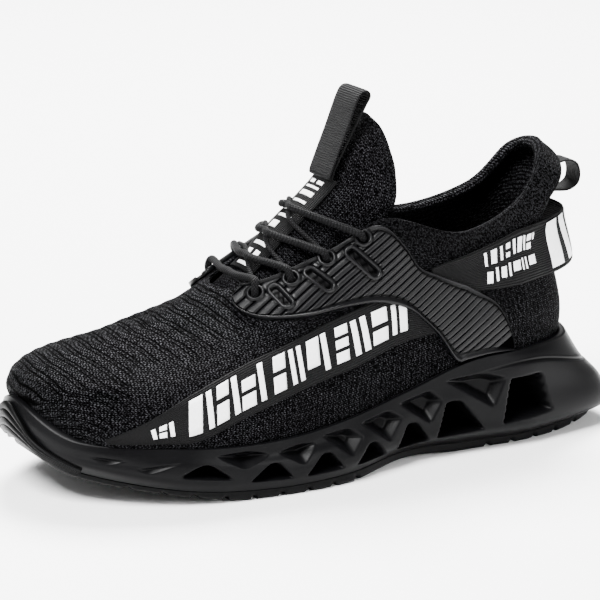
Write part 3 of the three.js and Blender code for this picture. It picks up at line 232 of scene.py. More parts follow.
class SneakerSizes(bpy.types.PropertyGroup):
    """Sizes that the whole shoe follows."""

    sole_length: FloatProperty(
        name="Sole length", description="From heel to toe", default=0.31, unit="LENGTH")
    ball_width: FloatProperty(
        name="Ball width", description="Width that the rows are shares of", default=0.104, unit="LENGTH")
    sole_height: FloatProperty(
        name="Sole height", description="From floor to rim at the heel", default=0.048, unit="LENGTH")
    heel_height: FloatProperty(
        name="Heel height", description="Knit above the rim at the heel", default=0.09, unit="LENGTH")
    instep_height: FloatProperty(
        name="Instep height", description="Knit above the rim at the instep", default=0.0785,
        unit="LENGTH")
    lasting_depth: FloatProperty(
        name="Lasting depth", description="Depth of the cup of the sole", default=0.005, unit="LENGTH")
    knit_wall: FloatProperty(
        name="Knit wall", description="Thickness of the knit", default=0.0022, unit="LENGTH")
    collar_wall: FloatProperty(
        name="Collar wall", description="Thickness of the padded collar", default=0.0055,
        unit="LENGTH")
    tongue_wall: FloatProperty(
        name="Tongue wall", description="Thickness of the tongue", default=0.0045, unit="LENGTH")
    overlay_lift: FloatProperty(
        name="Overlay lift", description="Gap between knit and overlay", default=0.00065, unit="LENGTH")
    eyestay_wall: FloatProperty(
        name="Eyestay thickness", description="Moulded trim without its bead", default=0.0015,
        unit="LENGTH")
    tape_wall: FloatProperty(
        name="Tape thickness", description="Thickness of the webbing", default=0.0011, unit="LENGTH")
    strap_standoff: FloatProperty(
        name="Strap standoff", description="Gap of the strap behind the heel", default=0.011,
        unit="LENGTH")
    tongue_tape_width: FloatProperty(
        name="Tongue tape width", description="Width of the pull loop", default=0.02, unit="LENGTH")
    tongue_loop_height: FloatProperty(
        name="Tongue loop height", description="Height of the pull loop", default=0.042, unit="LENGTH")
    heel_loop_width: FloatProperty(
        name="Heel loop width", description="Width of the heel loop", default=0.012, unit="LENGTH")
    heel_loop_depth: FloatProperty(
        name="Heel loop depth", description="Reach of the heel loop", default=0.014, unit="LENGTH")
    eyelet_radius: FloatProperty(
        name="Eyelet radius", description="Radius of a lace hole", default=0.0026, unit="LENGTH")
    slot_radius: FloatProperty(
        name="Slot radius", description="Half the width of a long slot", default=0.0018, unit="LENGTH")
    lace_radius: FloatProperty(
        name="Lace radius", description="Radius of the round lace", default=0.00175, unit="LENGTH")
    hole_depth: FloatProperty(
        name="Hole depth", description="Depth of the holes in the flank", default=0.02, unit="LENGTH")
    pocket_depth: FloatProperty(
        name="Pocket depth", description="Depth of the scoops in the flank", default=0.0055,
        unit="LENGTH")
    rib_pitch: FloatProperty(
        name="Rib pitch", description="Distance between the vamp's ribs", default=0.0072, unit="LENGTH")
    insole_wall: FloatProperty(
        name="Insole thickness", description="Thickness of the insole", default=0.004, unit="LENGTH")


class SneakerColours(bpy.types.PropertyGroup):
    """Colours of the finishes."""

    knit: FloatVectorProperty(
        name="Knit", description="Yarn of upper and tongue", default=(0.0009, 0.0009, 0.001),
        subtype="COLOR")
    webbing: FloatVectorProperty(
        name="Webbing", description="Tapes, strap and loops", default=(0.0013, 0.0013, 0.0014),
        subtype="COLOR")
    moulded: FloatVectorProperty(
        name="Moulded trim", description="Eyestays", default=(0.0022, 0.0022, 0.0025), subtype="COLOR")
    foam: FloatVectorProperty(
        name="Foam", description="Midsole", default=(0.0014, 0.0014, 0.0016), subtype="COLOR")
    rubber: FloatVectorProperty(
        name="Rubber", description="Outsole and bumper", default=(0.0012, 0.0012, 0.0013),
        subtype="COLOR")
    lace: FloatVectorProperty(
        name="Lace", description="Round lace", default=(0.001, 0.001, 0.0011), subtype="COLOR")
    pattern: FloatVectorProperty(
        name="Printed pattern", description="Bars and blocks on the tapes",
        default=(0.86, 0.86, 0.87), subtype="COLOR")
    floor: FloatVectorProperty(
        name="Floor", description="Floor under the shoe", default=(0.93, 0.93, 0.93),
        subtype="COLOR")


# Curves and surfaces

def smooth_step(low, high, value):
    share = np.clip((value - low) / (high - low), 0, 1)
    return share * share * (3 - 2 * share)


def bell(distance, reach):
    """1 at no distance, falling smoothly to nothing past the reach."""
    return np.exp(-(distance / reach) ** 2)


def between_four(a, b, c, d, share):
    """Point of a smooth curve between b and c."""
    share = np.asarray(share)[..., None]
    leave = (c - a) / 2
    arrive = (d - b) / 2
    cubic = 2 * b - 2 * c + leave + arrive
    square = -3 * b + 3 * c - 2 * leave - arrive
    return ((cubic * share + square) * share + leave) * share + b


def with_ends(points):
    """Points with one more at either end, straight on from the last two."""
    return np.concatenate([[2 * points[0] - points[1]], points, [2 * points[-1] - points[-2]]])


def on_curve(points, places):
    """Points of an open smooth curve; whole places fall on its points."""
    points = np.asarray(points, float)
    places = np.clip(np.asarray(places, float), 0, len(points) - 1)
    start = np.minimum(places.astype(int), len(points) - 2)
    padded = with_ends(points)
    return between_four(*[padded[start + i] for i in range(4)], places - start)


def on_loop(points, places):
    """Points of a closed smooth curve; whole places fall on its points."""
    points = np.asarray(points, float)
    places = np.asarray(places, float)
    start = np.floor(places).astype(int)
    return between_four(*[points[(start + i) % len(points)] for i in (-1, 0, 1, 2)], places - start)


def unit(vectors):
    length = np.linalg.norm(vectors, axis=-1, keepdims=True)
    return vectors / np.maximum(length, 1e-12)


class Surface:
    """Smooth surface through rings of 18 stations: level 0 is its low edge and 1 its high edge."""

    STEP = 0.02

    def __init__(self, rings):
        self.rings = np.asarray(rings, float)

    def at(self, stations, levels):
        stations, levels = np.broadcast_arrays(np.asarray(stations, float), np.asarray(levels, float))
        spans = len(self.rings) - 1
        places = np.clip(levels.ravel(), 0, 1) * spans
        start = np.minimum(places.astype(int), spans - 1)
        padded = with_ends(np.stack([on_loop(ring, stations.ravel()) for ring in self.rings]))
        every = np.arange(stations.size)
        points = between_four(*[padded[start + i, every] for i in range(4)], places - start)
        return points.reshape(*stations.shape, 3)

    def outward(self, stations, levels):
        low = np.maximum(0, np.asarray(levels) - self.STEP)
        high = np.minimum(1, np.asarray(levels) + self.STEP)
        turn = self.at(stations + self.STEP, levels) - self.at(stations - self.STEP, levels)
        rise = self.at(stations, high) - self.at(stations, low)
        return unit(np.cross(rise, turn))

    def lifted(self, stations, levels, lift):
        stations, levels, lift = np.broadcast_arrays(stations, levels, lift)
        return self.at(stations, levels) + self.outward(stations, levels) * lift[..., None]


def ring_of(rows, heights, sizes):
    """Points of one level, round the outer side and back along the inner one."""
    outer = [(row[1] * sizes.ball_width, -row[0] * sizes.sole_length, height)
             for row, height in zip(rows, heights)]
    inner = [(-row[2] * sizes.ball_width, -row[0] * sizes.sole_length, height)
             for row, height in zip(rows, heights)]
    return outer + inner[-2:0:-1]


def from_heel(stations):
    """Stations counted from the heel, alike on both sides."""
    return np.minimum(stations % STATIONS, STATIONS - stations % STATIONS)


class Shoe:
    """The shoe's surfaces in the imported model's frame."""

    def __init__(self, sizes):
        self.sizes = sizes
        rim = SOLE_LEVELS["rim"]
        sole = [ring_of(rows, [row[3] * sizes.sole_height for row in rows], sizes)
                for rows in SOLE_LEVELS.values()]
        upper = []
        for rows in UPPER_LEVELS.values():
            heights = []
            for i, row in enumerate(rows):
                rim_height = rim[i][3] * sizes.sole_height
                rise = sizes.heel_height if i < FOREPART_ROW else sizes.instep_height
                feather = rim_height - sizes.lasting_depth
                heights.append(feather if row[3] == 0 else rim_height + row[3] * rise)
            upper.append(ring_of(rows, heights, sizes))
        tread = ring_of(TREAD_EDGE, [row[3] * sizes.sole_height for row in TREAD_EDGE], sizes)
        self.shift = self.frame_shift(Surface(sole))
        self.sole = Surface(np.array(sole) + self.shift)
        self.upper = Surface(np.array(upper) + self.shift)
        self.tread = np.array(tread) + self.shift

    def frame_shift(self, sole):
        """From the back of the sole to the frame's origin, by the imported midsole's box."""
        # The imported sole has 48 facets round it and 8 up its flank.
        stations = np.arange(48) * STATIONS / 48
        facets = sole.at(stations[:, None], np.linspace(0, 1, 9)[None, :]).reshape(-1, 3)
        low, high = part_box("midsole")
        middle = (np.array(low) + np.array(high)) / 2
        shift = middle - (facets.min(0) + facets.max(0)) / 2
        return np.array([shift[0], shift[1], 0])

    def along(self, points):
        return self.shift[1] - points[..., 1]

    def across(self, points):
        return points[..., 0] - self.shift[0]

    def place(self, along, across, up):
        return np.stack([across + self.shift[0], self.shift[1] - along, up], -1)

    def on_upper(self, stations, levels, lift, mirror):
        """Points over the knit of the outer side, or of the inner side where they are mirrored."""
        return self.upper.lifted(STATIONS - stations if mirror else stations, levels, lift)

    def upper_wall(self, stations, levels):
        """Thickness of the knit: the collar is padded as far as the ankle."""
        ended = smooth_step(3.6, 4.4, from_heel(stations))
        padding = smooth_step(0.5, 0.8, levels) * (1 - ended)
        return self.sizes.knit_wall + (self.sizes.collar_wall - self.sizes.knit_wall) * padding

    def rim_height(self, along):
        ring = on_loop(self.sole.rings[-1], np.linspace(0, STATIONS / 2, 361))
        return np.interp(along, self.along(ring), ring[:, 2])

    def tongue(self, rows, turns):
        """Outer face of the tongue: turns go from -1 to 1 across it."""
        sizes = self.sizes
        line = []
        bend = []
        for row in TONGUE_ROWS:
            along = row["along"] * sizes.sole_length
            up = self.rim_height(along) + row["up"] * sizes.instep_height
            line.append((along, up, row["half"] * sizes.ball_width))
            bend.append((row["back"] * sizes.sole_length, row["down"] * sizes.instep_height, 0))
        rows, turns = np.broadcast_arrays(np.asarray(rows, float), np.asarray(turns, float))
        line = on_curve(line, rows)
        bend = on_curve(bend, rows)
        fall = 1 - np.cos(turns * pi / 2)
        across = TONGUE_SHIFT + line[..., 2] * np.sin(turns * pi / 2)
        return self.place(line[..., 0] - bend[..., 0] * fall, across, line[..., 1] - bend[..., 1] * fall)

    def over_tongue(self, rows, turns, lift):
        rows, turns, lift = np.broadcast_arrays(
            np.asarray(rows, float), np.asarray(turns, float), np.asarray(lift, float))
        step = 0.05
        last = len(TONGUE_ROWS) - 1
        rise = self.tongue(np.minimum(last, rows + step), turns)
        rise = rise - self.tongue(np.maximum(0, rows - step), turns)
        span = self.tongue(rows, np.minimum(1, turns + step))
        span = span - self.tongue(rows, np.maximum(-1, turns - step))
        return self.tongue(rows, turns) + unit(np.cross(span, rise)) * lift[..., None]

    def tongue_turn(self, rows, distance):
        """Turn across the tongue at a distance from its middle."""
        half = on_curve([(row["half"], 0, 0) for row in TONGUE_ROWS], rows)[..., 0]
        share = np.clip(distance / (half * self.sizes.ball_width), -1, 1)
        return np.arcsin(share) * 2 / pi


def shoe():
    return Shoe(bpy.context.scene.sneaker_sizes)


# Meshes

def skin(name, places, finish, replaced=(), capped=True, fields=None):
    """Piece made of one grid: places holds rows of points, and a row goes round the piece.

    The UV map holds real lengths: u round the piece and v from row to row. Fields are numbers of
    each point that the finish reads by name.
    """
    rows, columns = places.shape[:2]
    bm = bmesh.new()
    chart = bm.loops.layers.uv.new("Lengths")
    layers = [(bm.verts.layers.float.new(field), numbers.reshape(-1))
              for field, numbers in (fields or {}).items()]
    bmesh.ops.create_grid(bm, x_segments=columns - 1, y_segments=rows - 1, size=1)
    bm.verts.ensure_lookup_table()
    order = np.lexsort((
        np.round([vert.co.x for vert in bm.verts], 6), np.round([vert.co.y for vert in bm.verts], 6)))
    index_of = np.empty(len(order), int)
    index_of[order] = np.arange(len(order))
    flat = places.reshape(-1, 3)
    lengths = chart_of(places).reshape(-1, 2)
    for vert, i in zip(bm.verts, index_of):
        vert.co = flat[i]
        for layer, numbers in layers:
            vert[layer] = numbers[i]
    for face in bm.faces:
        for loop in face.loops:
            loop[chart].uv = lengths[index_of[loop.vert.index]]
    last = (rows - 1) * columns
    meeting = [vert for vert, i in zip(bm.verts, index_of)
               if i % columns in (0, columns - 1) or i < columns or i >= last]
    bmesh.ops.remove_doubles(bm, verts=meeting, dist=1e-6)
    if capped:
        open_edges = [edge for edge in bm.edges if edge.is_boundary]
        bmesh.ops.holes_fill(bm, edges=open_edges, sides=0)
    bmesh.ops.recalc_face_normals(bm, faces=bm.faces)
    return finished(name, bm, finish, replaced)


def chart_of(places):
    """Lengths along the middle row, and along each column, of a grid of points."""
    middle = places[len(places) // 2]
    across = np.concatenate([[0], np.cumsum(np.linalg.norm(np.diff(middle, axis=0), axis=-1))])
    up = np.linalg.norm(np.diff(places, axis=0), axis=-1)
    up = np.concatenate([np.zeros((1, places.shape[1])), np.cumsum(up, axis=0)], axis=0)
    return np.stack([np.broadcast_to(across, up.shape), up], -1)


def finished(name, bm, finish, replaced=()):
    """The mesh as a piece of the shoe, with its finish."""
    mesh = bpy.data.meshes.new(name)
    bm.to_mesh(mesh)
    bm.free()
    mesh.shade_smooth()
    mesh.materials.append(finish_named(finish))
    piece = bpy.data.objects.new(name, mesh)
    bpy.context.scene.collection.objects.link(piece)
    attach(piece, "root")
    if replaced:
        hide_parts(*replaced)
    return piece


def rounded_section(count, corner):
    """Turn and height of a flat oval section: turn from -1 to 1, height from 0 to 1 and back."""
    angle = np.linspace(0, 2 * pi, count + 1)
    side = np.cos(angle)
    rise = np.sin(angle)
    return np.sign(side) * np.abs(side) ** corner, (np.sign(rise) * np.abs(rise) ** corner + 1) / 2


def tape_section(count):
    """Shares across a flat tape and of its height, all the way round it, with rounded edges."""
    side, height = rounded_section(count, 0.35)
    return (side + 1) / 2, height


def band(rows, steps, section):
    """Stations, levels, shares across and heights of a band between the edges of its rows."""
    shares, heights = section
    edges = on_curve(rows, np.linspace(0, len(rows) - 1, steps + 1))
    stations = edges[:, 0:1] + 0 * shares[None, :]
    levels = np.clip(edges[:, 1:2] + (edges[:, 2:3] - edges[:, 1:2]) * shares[None, :], 0, 1)
    return stations, levels, np.broadcast_to(shares, levels.shape), np.broadcast_to(heights, levels.shape)


def sweep(path, radius, sides):
    """Rows of points round a smooth path."""
    tangents = unit(np.gradient(path, axis=0))
    normal = unit(np.cross(tangents[0], [0.0, 0.0, 1.0]))
    angle = np.linspace(0, 2 * pi, sides + 1)[:, None]
    rows = []
    for point, tangent in zip(path, tangents):
        normal = unit(normal - tangent * np.dot(normal, tangent))
        aside = np.cross(tangent, normal)
        rows.append(point + radius * (np.cos(angle) * normal + np.sin(angle) * aside))
    return np.array(rows)


def evenly(points, pitch):
    """Points of a smooth open curve through the given ones, at an even pitch."""
    fine = on_curve(points, np.linspace(0, len(points) - 1, 60 * len(points)))
    run = np.concatenate([[0], np.cumsum(np.linalg.norm(np.diff(fine, axis=0), axis=1))])
    even = np.linspace(0, run[-1], max(8, int(run[-1] / pitch)) + 1)
    return np.stack([np.interp(even, run, fine[:, i]) for i in range(3)], -1)


# Finishes

class Term:
    """A number that a shader works out, to be added, multiplied and so on like any other."""

    def __init__(self, finish, socket):
        self.finish = finish
        self.socket = socket

    def __add__(self, other):
        return self.finish.math("ADD", self, other)

    def __sub__(self, other):
        return self.finish.math("SUBTRACT", self, other)

    def __rsub__(self, other):
        return self.finish.math("SUBTRACT", other, self)

    def __mul__(self, other):
        return self.finish.math("MULTIPLY", self, other)

    def __truediv__(self, other):
        return self.finish.math("DIVIDE", self, other)

    def __pow__(self, other):
        return self.finish.math("POWER", self, other)

    def __abs__(self):
        return self.finish.math("ABSOLUTE", self)

    def sine(self):
        return self.finish.math("SINE", self)

    def fraction(self):
        return self.finish.math("FRACT", self)

    def larger(self, other):
        return self.finish.math("MAXIMUM", self, other)

    def ranged(self, low, high, to_low, to_high):
        """This number moved from one range to another, and kept within it."""
        node = self.finish.nodes.new("ShaderNodeMapRange")
        for socket, value in zip(node.inputs, (self, low, high, to_low, to_high)):
            self.finish.put(socket, value)
        return Term(self.finish, node.outputs[0])


class Finish:
    """A node material under construction."""

    def __init__(self, name, colour, roughness, specular):
        self.material = bpy.data.materials.new(name)
        self.material.use_nodes = True
        self.nodes = self.material.node_tree.nodes
        self.links = self.material.node_tree.links
        self.shader = self.nodes["Principled BSDF"]
        self.colour = colour
        self.set("Base Color", (*colour, 1))
        self.set("Roughness", roughness)
        self.set("Specular IOR Level", specular)

    def put(self, socket, value):
        if isinstance(value, Term):
            self.links.new(value.socket, socket)
        else:
            socket.default_value = value

    def set(self, name, value):
        self.put(self.shader.inputs[name], value)

    def math(self, operation, *values):
        node = self.nodes.new("ShaderNodeMath")
        node.operation = operation
        for socket, value in zip(node.inputs, values):
            self.put(socket, value)
        return Term(self, node.outputs[0])

    def lengths(self):
        """The piece's own UV lengths, u and v."""
        node = self.nodes.new("ShaderNodeUVMap")
        node.uv_map = "Lengths"
        split = self.nodes.new("ShaderNodeSeparateXYZ")
        self.links.new(node.outputs["UV"], split.inputs[0])
        return Term(self, split.outputs[0]), Term(self, split.outputs[1])

    def attribute(self, name):
        node = self.nodes.new("ShaderNodeAttribute")
        node.attribute_name = name
        return Term(self, node.outputs["Fac"])

    def noise(self, scale, detail):
        place = self.nodes.new("ShaderNodeTexCoord")
        node = self.nodes.new("ShaderNodeTexNoise")
        self.links.new(place.outputs["Object"], node.inputs["Vector"])
        node.inputs["Scale"].default_value = scale
        node.inputs["Detail"].default_value = detail
        return Term(self, node.outputs["Fac"])

    def tint(self, factor, dark, light):
        """Base colour between two shades of the finish's colour."""
        node = self.nodes.new("ShaderNodeMix")
        node.data_type = "RGBA"
        self.put(node.inputs["Factor"], factor)
        # The mix node's colours are its inputs 6 and 7, and its colour output is 2.
        for number, shade in ((6, dark), (7, light)):
            node.inputs[number].default_value = (*[part * shade for part in self.colour], 1)
        self.links.new(node.outputs[2], self.shader.inputs["Base Color"])

    def bump(self, height, distance):
        node = self.nodes.new("ShaderNodeBump")
        node.inputs["Distance"].default_value = distance
        self.links.new(height.socket, node.inputs["Height"])
        self.links.new(node.outputs["Normal"], self.shader.inputs["Normal"])


def knit_finish(name, colour, stitch_width=0.0019, stitch_height=0.0015, relief=0.0008):
    """Weft knit: columns of V-shaped stitches with painted highlights on their crests, and the grooves of
    its ribs with painted shade in them.
    """
    finish = Finish(name, colour, 0.7, 0.5)
    u, v = finish.lengths()
    wander = finish.noise(260.0, 2.0)
    beside = abs((u / stitch_width + wander * 0.5).fraction() - 0.5)
    lean = v / stitch_height + beside * 1.6 + wander * 0.6
    yarn = abs((lean * pi).sine())
    gap = abs((beside * (2 * pi)).sine()) ** 0.45
    height = yarn * gap
    fibre = finish.noise(1100.0, 3.0)

    # Pairs of narrow grooves over the vamp, and rounded upright ribs elsewhere
    turn = finish.attribute("chevron").fraction()
    first, second = [abs(turn - middle).ranged(0.025, 0.08, 1.0, 0.0) for middle in (0.2, 0.5)]
    pair = first.larger(second) * finish.attribute("chevron_depth")
    upright = 1.0 - abs((finish.attribute("upright") * pi).sine()) ** 0.6
    upright = upright * finish.attribute("upright_depth")
    groove = pair.larger(upright).larger(finish.attribute("groove"))

    # Base colour: painted highlights on the stitch crests, random fibre tone, and painted shade in every
    # groove; the reflection follows the same painted light
    lit = height ** 2.6 * fibre.ranged(0.42, 0.66, 0.03, 1.7) * (1.0 - groove)
    finish.tint(lit, 0.1, 34.0)
    finish.set("Specular IOR Level", lit.ranged(0.0, 1.0, 0.006, 0.075))
    finish.bump(height + fibre * 0.35 - groove * 1.2, relief)
    return finish.material


def webbing_finish(name, colour, across=True):
    """Woven tape with fine ribs across it, or along it, painted lighter on their crests and darker between
    them as painted highlight and painted shade.
    """
    pitch = 0.0011
    finish = Finish(name, colour, 0.65, 0.07)
    u, v = finish.lengths()
    run, side = (v, u) if across else (u, v)
    wave = finish.noise(500.0, 1.0) * 0.5
    ribs = ((run / pitch + wave) * (2 * pi)).sine()
    warp = (side / (pitch * 0.7) * (2 * pi)).sine()
    height = ribs + warp * 0.35
    fibre = finish.noise(1800.0, 2.0)
    # Painted highlight on the crests of the weave and painted shade between them, with random fibre tone
    lit = height.ranged(-1.2, 1.2, 0.0, 1.0) * fibre.ranged(0.3, 0.7, 0.5, 1.3)
    finish.tint(lit, 0.3, 3.2)
    finish.bump(height, 0.00022)
    return finish.material


def moulded_finish(name, colour, roughness, specular, grain=2600.0, grain_depth=0.06):
    """Moulded surface with a fine grain, slight wear in its gloss, ribs where it has any, and painted shade
    in its trenches and hollows.
    """
    finish = Finish(name, colour, roughness, specular)
    pores = finish.noise(grain, 2.0)
    cloud = finish.noise(38.0, 4.0)
    side = abs(finish.attribute("rib").fraction() * 2.0 - 1.0)
    rib_depth = finish.attribute("rib_depth")
    # Painted shade in the trenches between the ribs and in the hollows that the piece marks: darker base
    # colour and no reflection there
    trench = side.ranged(0.78, 0.93, 0.0, 1.0) * rib_depth
    dome = side ** 4.0 * rib_depth
    hollow_shade = trench.larger(finish.attribute("groove"))
    lit = cloud.ranged(0.3, 0.7, 0.75, 1.0) * (1.0 - hollow_shade * 0.9)
    finish.tint(lit, 0.05, 1.3)
    finish.set("Roughness", cloud.ranged(0.0, 1.0, roughness - 0.08, roughness + 0.12))
    finish.set("Specular IOR Level", hollow_shade.ranged(0.3, 1.0, specular, 0.0))
    finish.bump(pores * grain_depth - dome, 0.001)
    return finish.material


def lace_finish(name, colour):
    """Round braid: two families of strands crossing round the cord."""
    finish = Finish(name, colour, 0.65, 0.07)
    u, v = finish.lengths()
    turn = u / 0.001375
    run = v / 0.0016
    height = abs(((turn + run) * pi).sine() * ((turn - run) * pi).sine())
    fibre = finish.noise(1900.0, 2.0)
    # Base colour: painted highlights on the crests of the strands and painted shade between them, with
    # random fibre tone
    finish.tint(height * fibre.ranged(0.3, 0.7, 0.4, 1.4), 0.15, 9.0)
    finish.bump(height, 0.0006)
    return finish.material


def print_finish(name, colour):
    """Flexible print: smooth, with the weave showing faintly through it."""
    finish = Finish(name, colour, 0.5, 0.4)
    weave = finish.noise(900.0, 3.0)
    finish.tint(weave.ranged(0.35, 0.65, 0.0, 1.0), 0.92, 1.0)
    finish.bump(weave, 0.00005)
    return finish.material


def floor_finish(name, colour):
    return Finish(name, colour, 0.6, 0.2).material


# Each finish: how it is made, the colour that it takes, and what else its maker is given
FINISHES = {
    "Knit": (knit_finish, "knit", {}),
    "Insole cloth": (knit_finish, "knit", {
        "stitch_width": 0.0014, "stitch_height": 0.0019, "relief": 0.0006}),
    "Webbing across": (webbing_finish, "webbing", {}),
    "Webbing along": (webbing_finish, "webbing", {"across": False}),
    "Moulded trim": (moulded_finish, "moulded", {"roughness": 0.33, "specular": 0.13}),
    "Foam": (moulded_finish, "foam", {
        "roughness": 0.34, "specular": 0.055, "grain": 1800.0, "grain_depth": 0.04}),
    "Rubber": (moulded_finish, "rubber", {
        "roughness": 0.42, "specular": 0.05, "grain": 2200.0, "grain_depth": 0.08}),
    "Lace": (lace_finish, "lace", {}),
    "Print": (print_finish, "pattern", {}),
    "Floor": (floor_finish, "floor", {}),
}


def finish_named(name):
    """The finish of that name, made the first time that it is asked for."""
    if name not in bpy.data.materials:
        maker, colour, options = FINISHES[name]
        maker(name, getattr(bpy.context.scene.sneaker_colours, colour), **options)
    return bpy.data.materials[name]


# Upper

VAMP_STATIONS = (5.6, 12.4)
UPPER_ROWS = 112
RIM_ROWS = 6
LINING_ROWS = 30
SIDES = {"outer": False, "inner": True}


def upper_stations():
    """Stations round the upper, closer together over the vamp where its ribs lie."""
    start, end = VAMP_STATIONS
    vamp = np.linspace(start, end, 300, endpoint=False)
    heel = np.linspace(end, STATIONS + start, 261)
    return np.concatenate([vamp, heel])


def knit_relief(model, stations, levels):
    """Height of the knit over the last, and the fields that its finish draws the ribs and their painted
    shade from.
    """
    points = model.upper.at(stations, levels)
    along = model.along(points)
    up = points[..., 2]
    turn = stations % STATIONS
    away_from_heel = from_heel(stations)
    share = along / model.sizes.sole_length

    # Chevrons over the vamp: pairs of narrow grooves that lean back as they fall, more below
    middle = model.upper.at(np.full(80, 9.0), np.linspace(0.22, 1, 80))
    ridge = np.interp(along, model.along(middle)[::-1], middle[::-1, 2])
    fall = np.clip(ridge - up, 0, None) + np.abs(model.across(points)) * 0.35
    toe = smooth_step(0.82, 0.93, share)
    bend = 0.022 - 0.006 * toe
    lean = 0.34 * fall + (0.5 + 1.0 * toe) * np.clip(fall - bend, 0, None)
    chevron = (along + lean) / model.sizes.rib_pitch
    reach = 0.014 + 0.009 * (1 - smooth_step(0.7, 0.86, share)) + 0.03 * toe
    chevron_depth = smooth_step(0.6, 0.68, share) * (1 - 0.75 * smooth_step(reach * 0.8, reach * 1.25, fall))

    # Wavy upright ribs round the heel and under the side tape
    wave = 0.0011 * np.sin(up / 0.0075) + 0.0006 * np.sin(up / 0.0031 + away_from_heel * 5)
    upright = (along * 0.5 + away_from_heel * 0.034 + wave) / 0.0042
    upright_depth = 0.9 * (1 - smooth_step(0.5, 0.6, levels)) * (1 - smooth_step(5.4, 6.6, away_from_heel))

    # Fine slanting ribs on the collar, which the finish bumps and darkens in their grooves as painted shade
    collar = smooth_step(0.66, 0.8, levels) * (1 - smooth_step(3.0, 3.8, away_from_heel))
    groove = collar * (1 - np.abs(np.sin(pi * (along * 0.8 + up * 0.9) / 0.0026))) ** 2 * 0.35

    # Shade in the long slots of the eyestays
    for high, low in SLOTS:
        for part in np.linspace(0, 1, 5):
            station, level = [first + (last - first) * part for first, last in zip(high, low)]
            away = ((away_from_heel - station) / 0.16) ** 2 + ((levels - level) / 0.05) ** 2
            groove = np.maximum(groove, np.clip(2 - 2 * away, 0, 1))

    ribs = 0.5 + 0.5 * np.cos(2 * pi * (chevron - 0.35))
    relief = 0.0003 * smooth_step(0.0, 0.06, levels) - 0.0003 * ribs * chevron_depth
    for (station, level), (reach, height), depth in CREASES:
        away = ((turn - station) / reach) ** 2 + ((levels - level) / height) ** 2
        relief = relief - depth * np.exp(-away)
    fields = {
        "groove": groove, "chevron": chevron, "chevron_depth": chevron_depth, "upright": upright,
        "upright_depth": upright_depth}
    return relief, fields


def build_upper():
    """Knit shell: outer face with its ribs, rolled top line and lining, one closed wall."""
    model = shoe()
    stations = upper_stations()[None, :]
    levels = np.linspace(0, 1, UPPER_ROWS + 1)[:, None]
    relief, fields = knit_relief(model, stations + 0 * levels, levels + 0 * stations)
    outer = model.upper.lifted(stations, levels, relief)

    # Half a turn over the top line
    at_top = np.ones((1, 1))
    top = model.upper.at(stations, at_top)
    normal = model.upper.outward(stations, at_top)
    rise = unit(top - model.upper.at(stations, 0.96 * at_top))
    angles = np.linspace(0, pi, RIM_ROWS + 2)[1:-1, None, None]
    half = model.upper_wall(stations, at_top)[..., None] / 2
    rim = top - normal * half * (1 - np.cos(angles)) + rise * np.minimum(half, 0.0012) * np.sin(angles)

    # Lining with ribs along it that fade towards the insole
    inner_levels = np.linspace(1, 0, LINING_ROWS + 1)[:, None]
    inner = model.upper.lifted(stations, inner_levels, -model.upper_wall(stations, inner_levels))
    plain = np.zeros((RIM_ROWS + len(inner) + 1, outer.shape[1]))
    lined = {"upright": plain.copy(), "upright_depth": plain.copy()}
    lined["upright"][RIM_ROWS:-1] = (inner[..., 2] + 0.25 * model.along(inner)) / 0.0026
    lined["upright_depth"][RIM_ROWS + 1:-1] = 0.8 * smooth_step(0.2, 0.4, inner_levels[1:])
    fields = {name: np.concatenate([numbers, lined.get(name, plain)]).T for name, numbers in fields.items()}

    # A row has to run round the closed section of the wall, so the grid is turned.
    places = np.concatenate([outer, rim, inner, outer[:1]]).transpose(1, 0, 2)
    skin("upper", places, "Knit", ["upper"], False, fields)


# Tongue, insole and their webbing

def build_tongue():
    """Padded knit tongue with rounded edges and tip."""
    model = shoe()
    turns, height = rounded_section(72, 0.55)
    turns = turns[None, :]
    height = height[None, :]
    last = len(TONGUE_ROWS) - 1
    rows = np.linspace(0, last, 110)[:, None]
    wall = model.sizes.tongue_wall * (1 - 0.6 * smooth_step(last - 1.5, last, rows))
    points = model.over_tongue(rows, turns * 0.985, -wall * (1 - height))
    # Ribs across the tongue, pressed in, with painted shade in their grooves
    ribs = np.abs(np.sin(pi * (turns * 11.0 + 0.25 * np.sin(rows * 3.1))))
    groove = (1 - ribs) ** 2 * smooth_step(0.4, 0.6, height) * 0.5
    normal = unit(model.over_tongue(rows, turns * 0.9, 0.001) - model.tongue(rows, turns * 0.9))
    points = points - normal * (groove * 0.0004)[..., None]
    piece = skin("tongue", points, "Knit", ["tongue"], True, {"groove": groove})


def build_insole():
    """Insole inside the foot of the upper."""
    model = shoe()
    sizes = model.sizes
    stations = np.linspace(0, STATIONS, 181)[None, :]
    feather = model.upper.at(stations, np.zeros((1, 1)))[..., 2]
    inside = model.upper.lifted(stations, np.full((1, 1), 0.03), -sizes.knit_wall - 0.001)
    spine = np.clip(model.along(inside), 0.1 * sizes.sole_length, 0.9 * sizes.sole_length)
    middle = model.place(spine, 0 * feather, feather)
    wall = sizes.insole_wall
    edge = 0.0012
    section = [
        (0.0, 0.0), (0.35, 0.0), (0.7, 0.0), (0.96, 0.0), (1.0, edge), (1.0, wall - edge), (0.96, wall),
        (0.7, wall), (0.35, wall), (0.0, wall)]
    rows = []
    for share, rise in section:
        ring = middle + (inside - middle) * share
        ring[..., 2] = feather + rise
        rows.append(ring[0])
    skin("insole", np.array(rows), "Insole cloth", ["insole"])


def ribbon(model, points, width, across):
    """Closed loop of webbing, seen from the side as a loop through points (along, up)."""
    path = on_loop(points, np.linspace(0, len(points), 181))
    ahead = unit(np.gradient(path, axis=0))
    ahead[0] = ahead[-1] = unit(path[1] - path[-2])
    inside = np.stack([-ahead[:, 1], ahead[:, 0]], -1)
    side, height = tape_section(28)
    depth = (model.sizes.tape_wall * (1 - height))[:, None]
    rows = []
    for point, inward in zip(path, inside):
        spot = point[None, :] + inward[None, :] * depth
        rows.append(model.place(spot[:, 0], across + width * (side - 0.5), spot[:, 1]))
    return np.array(rows)


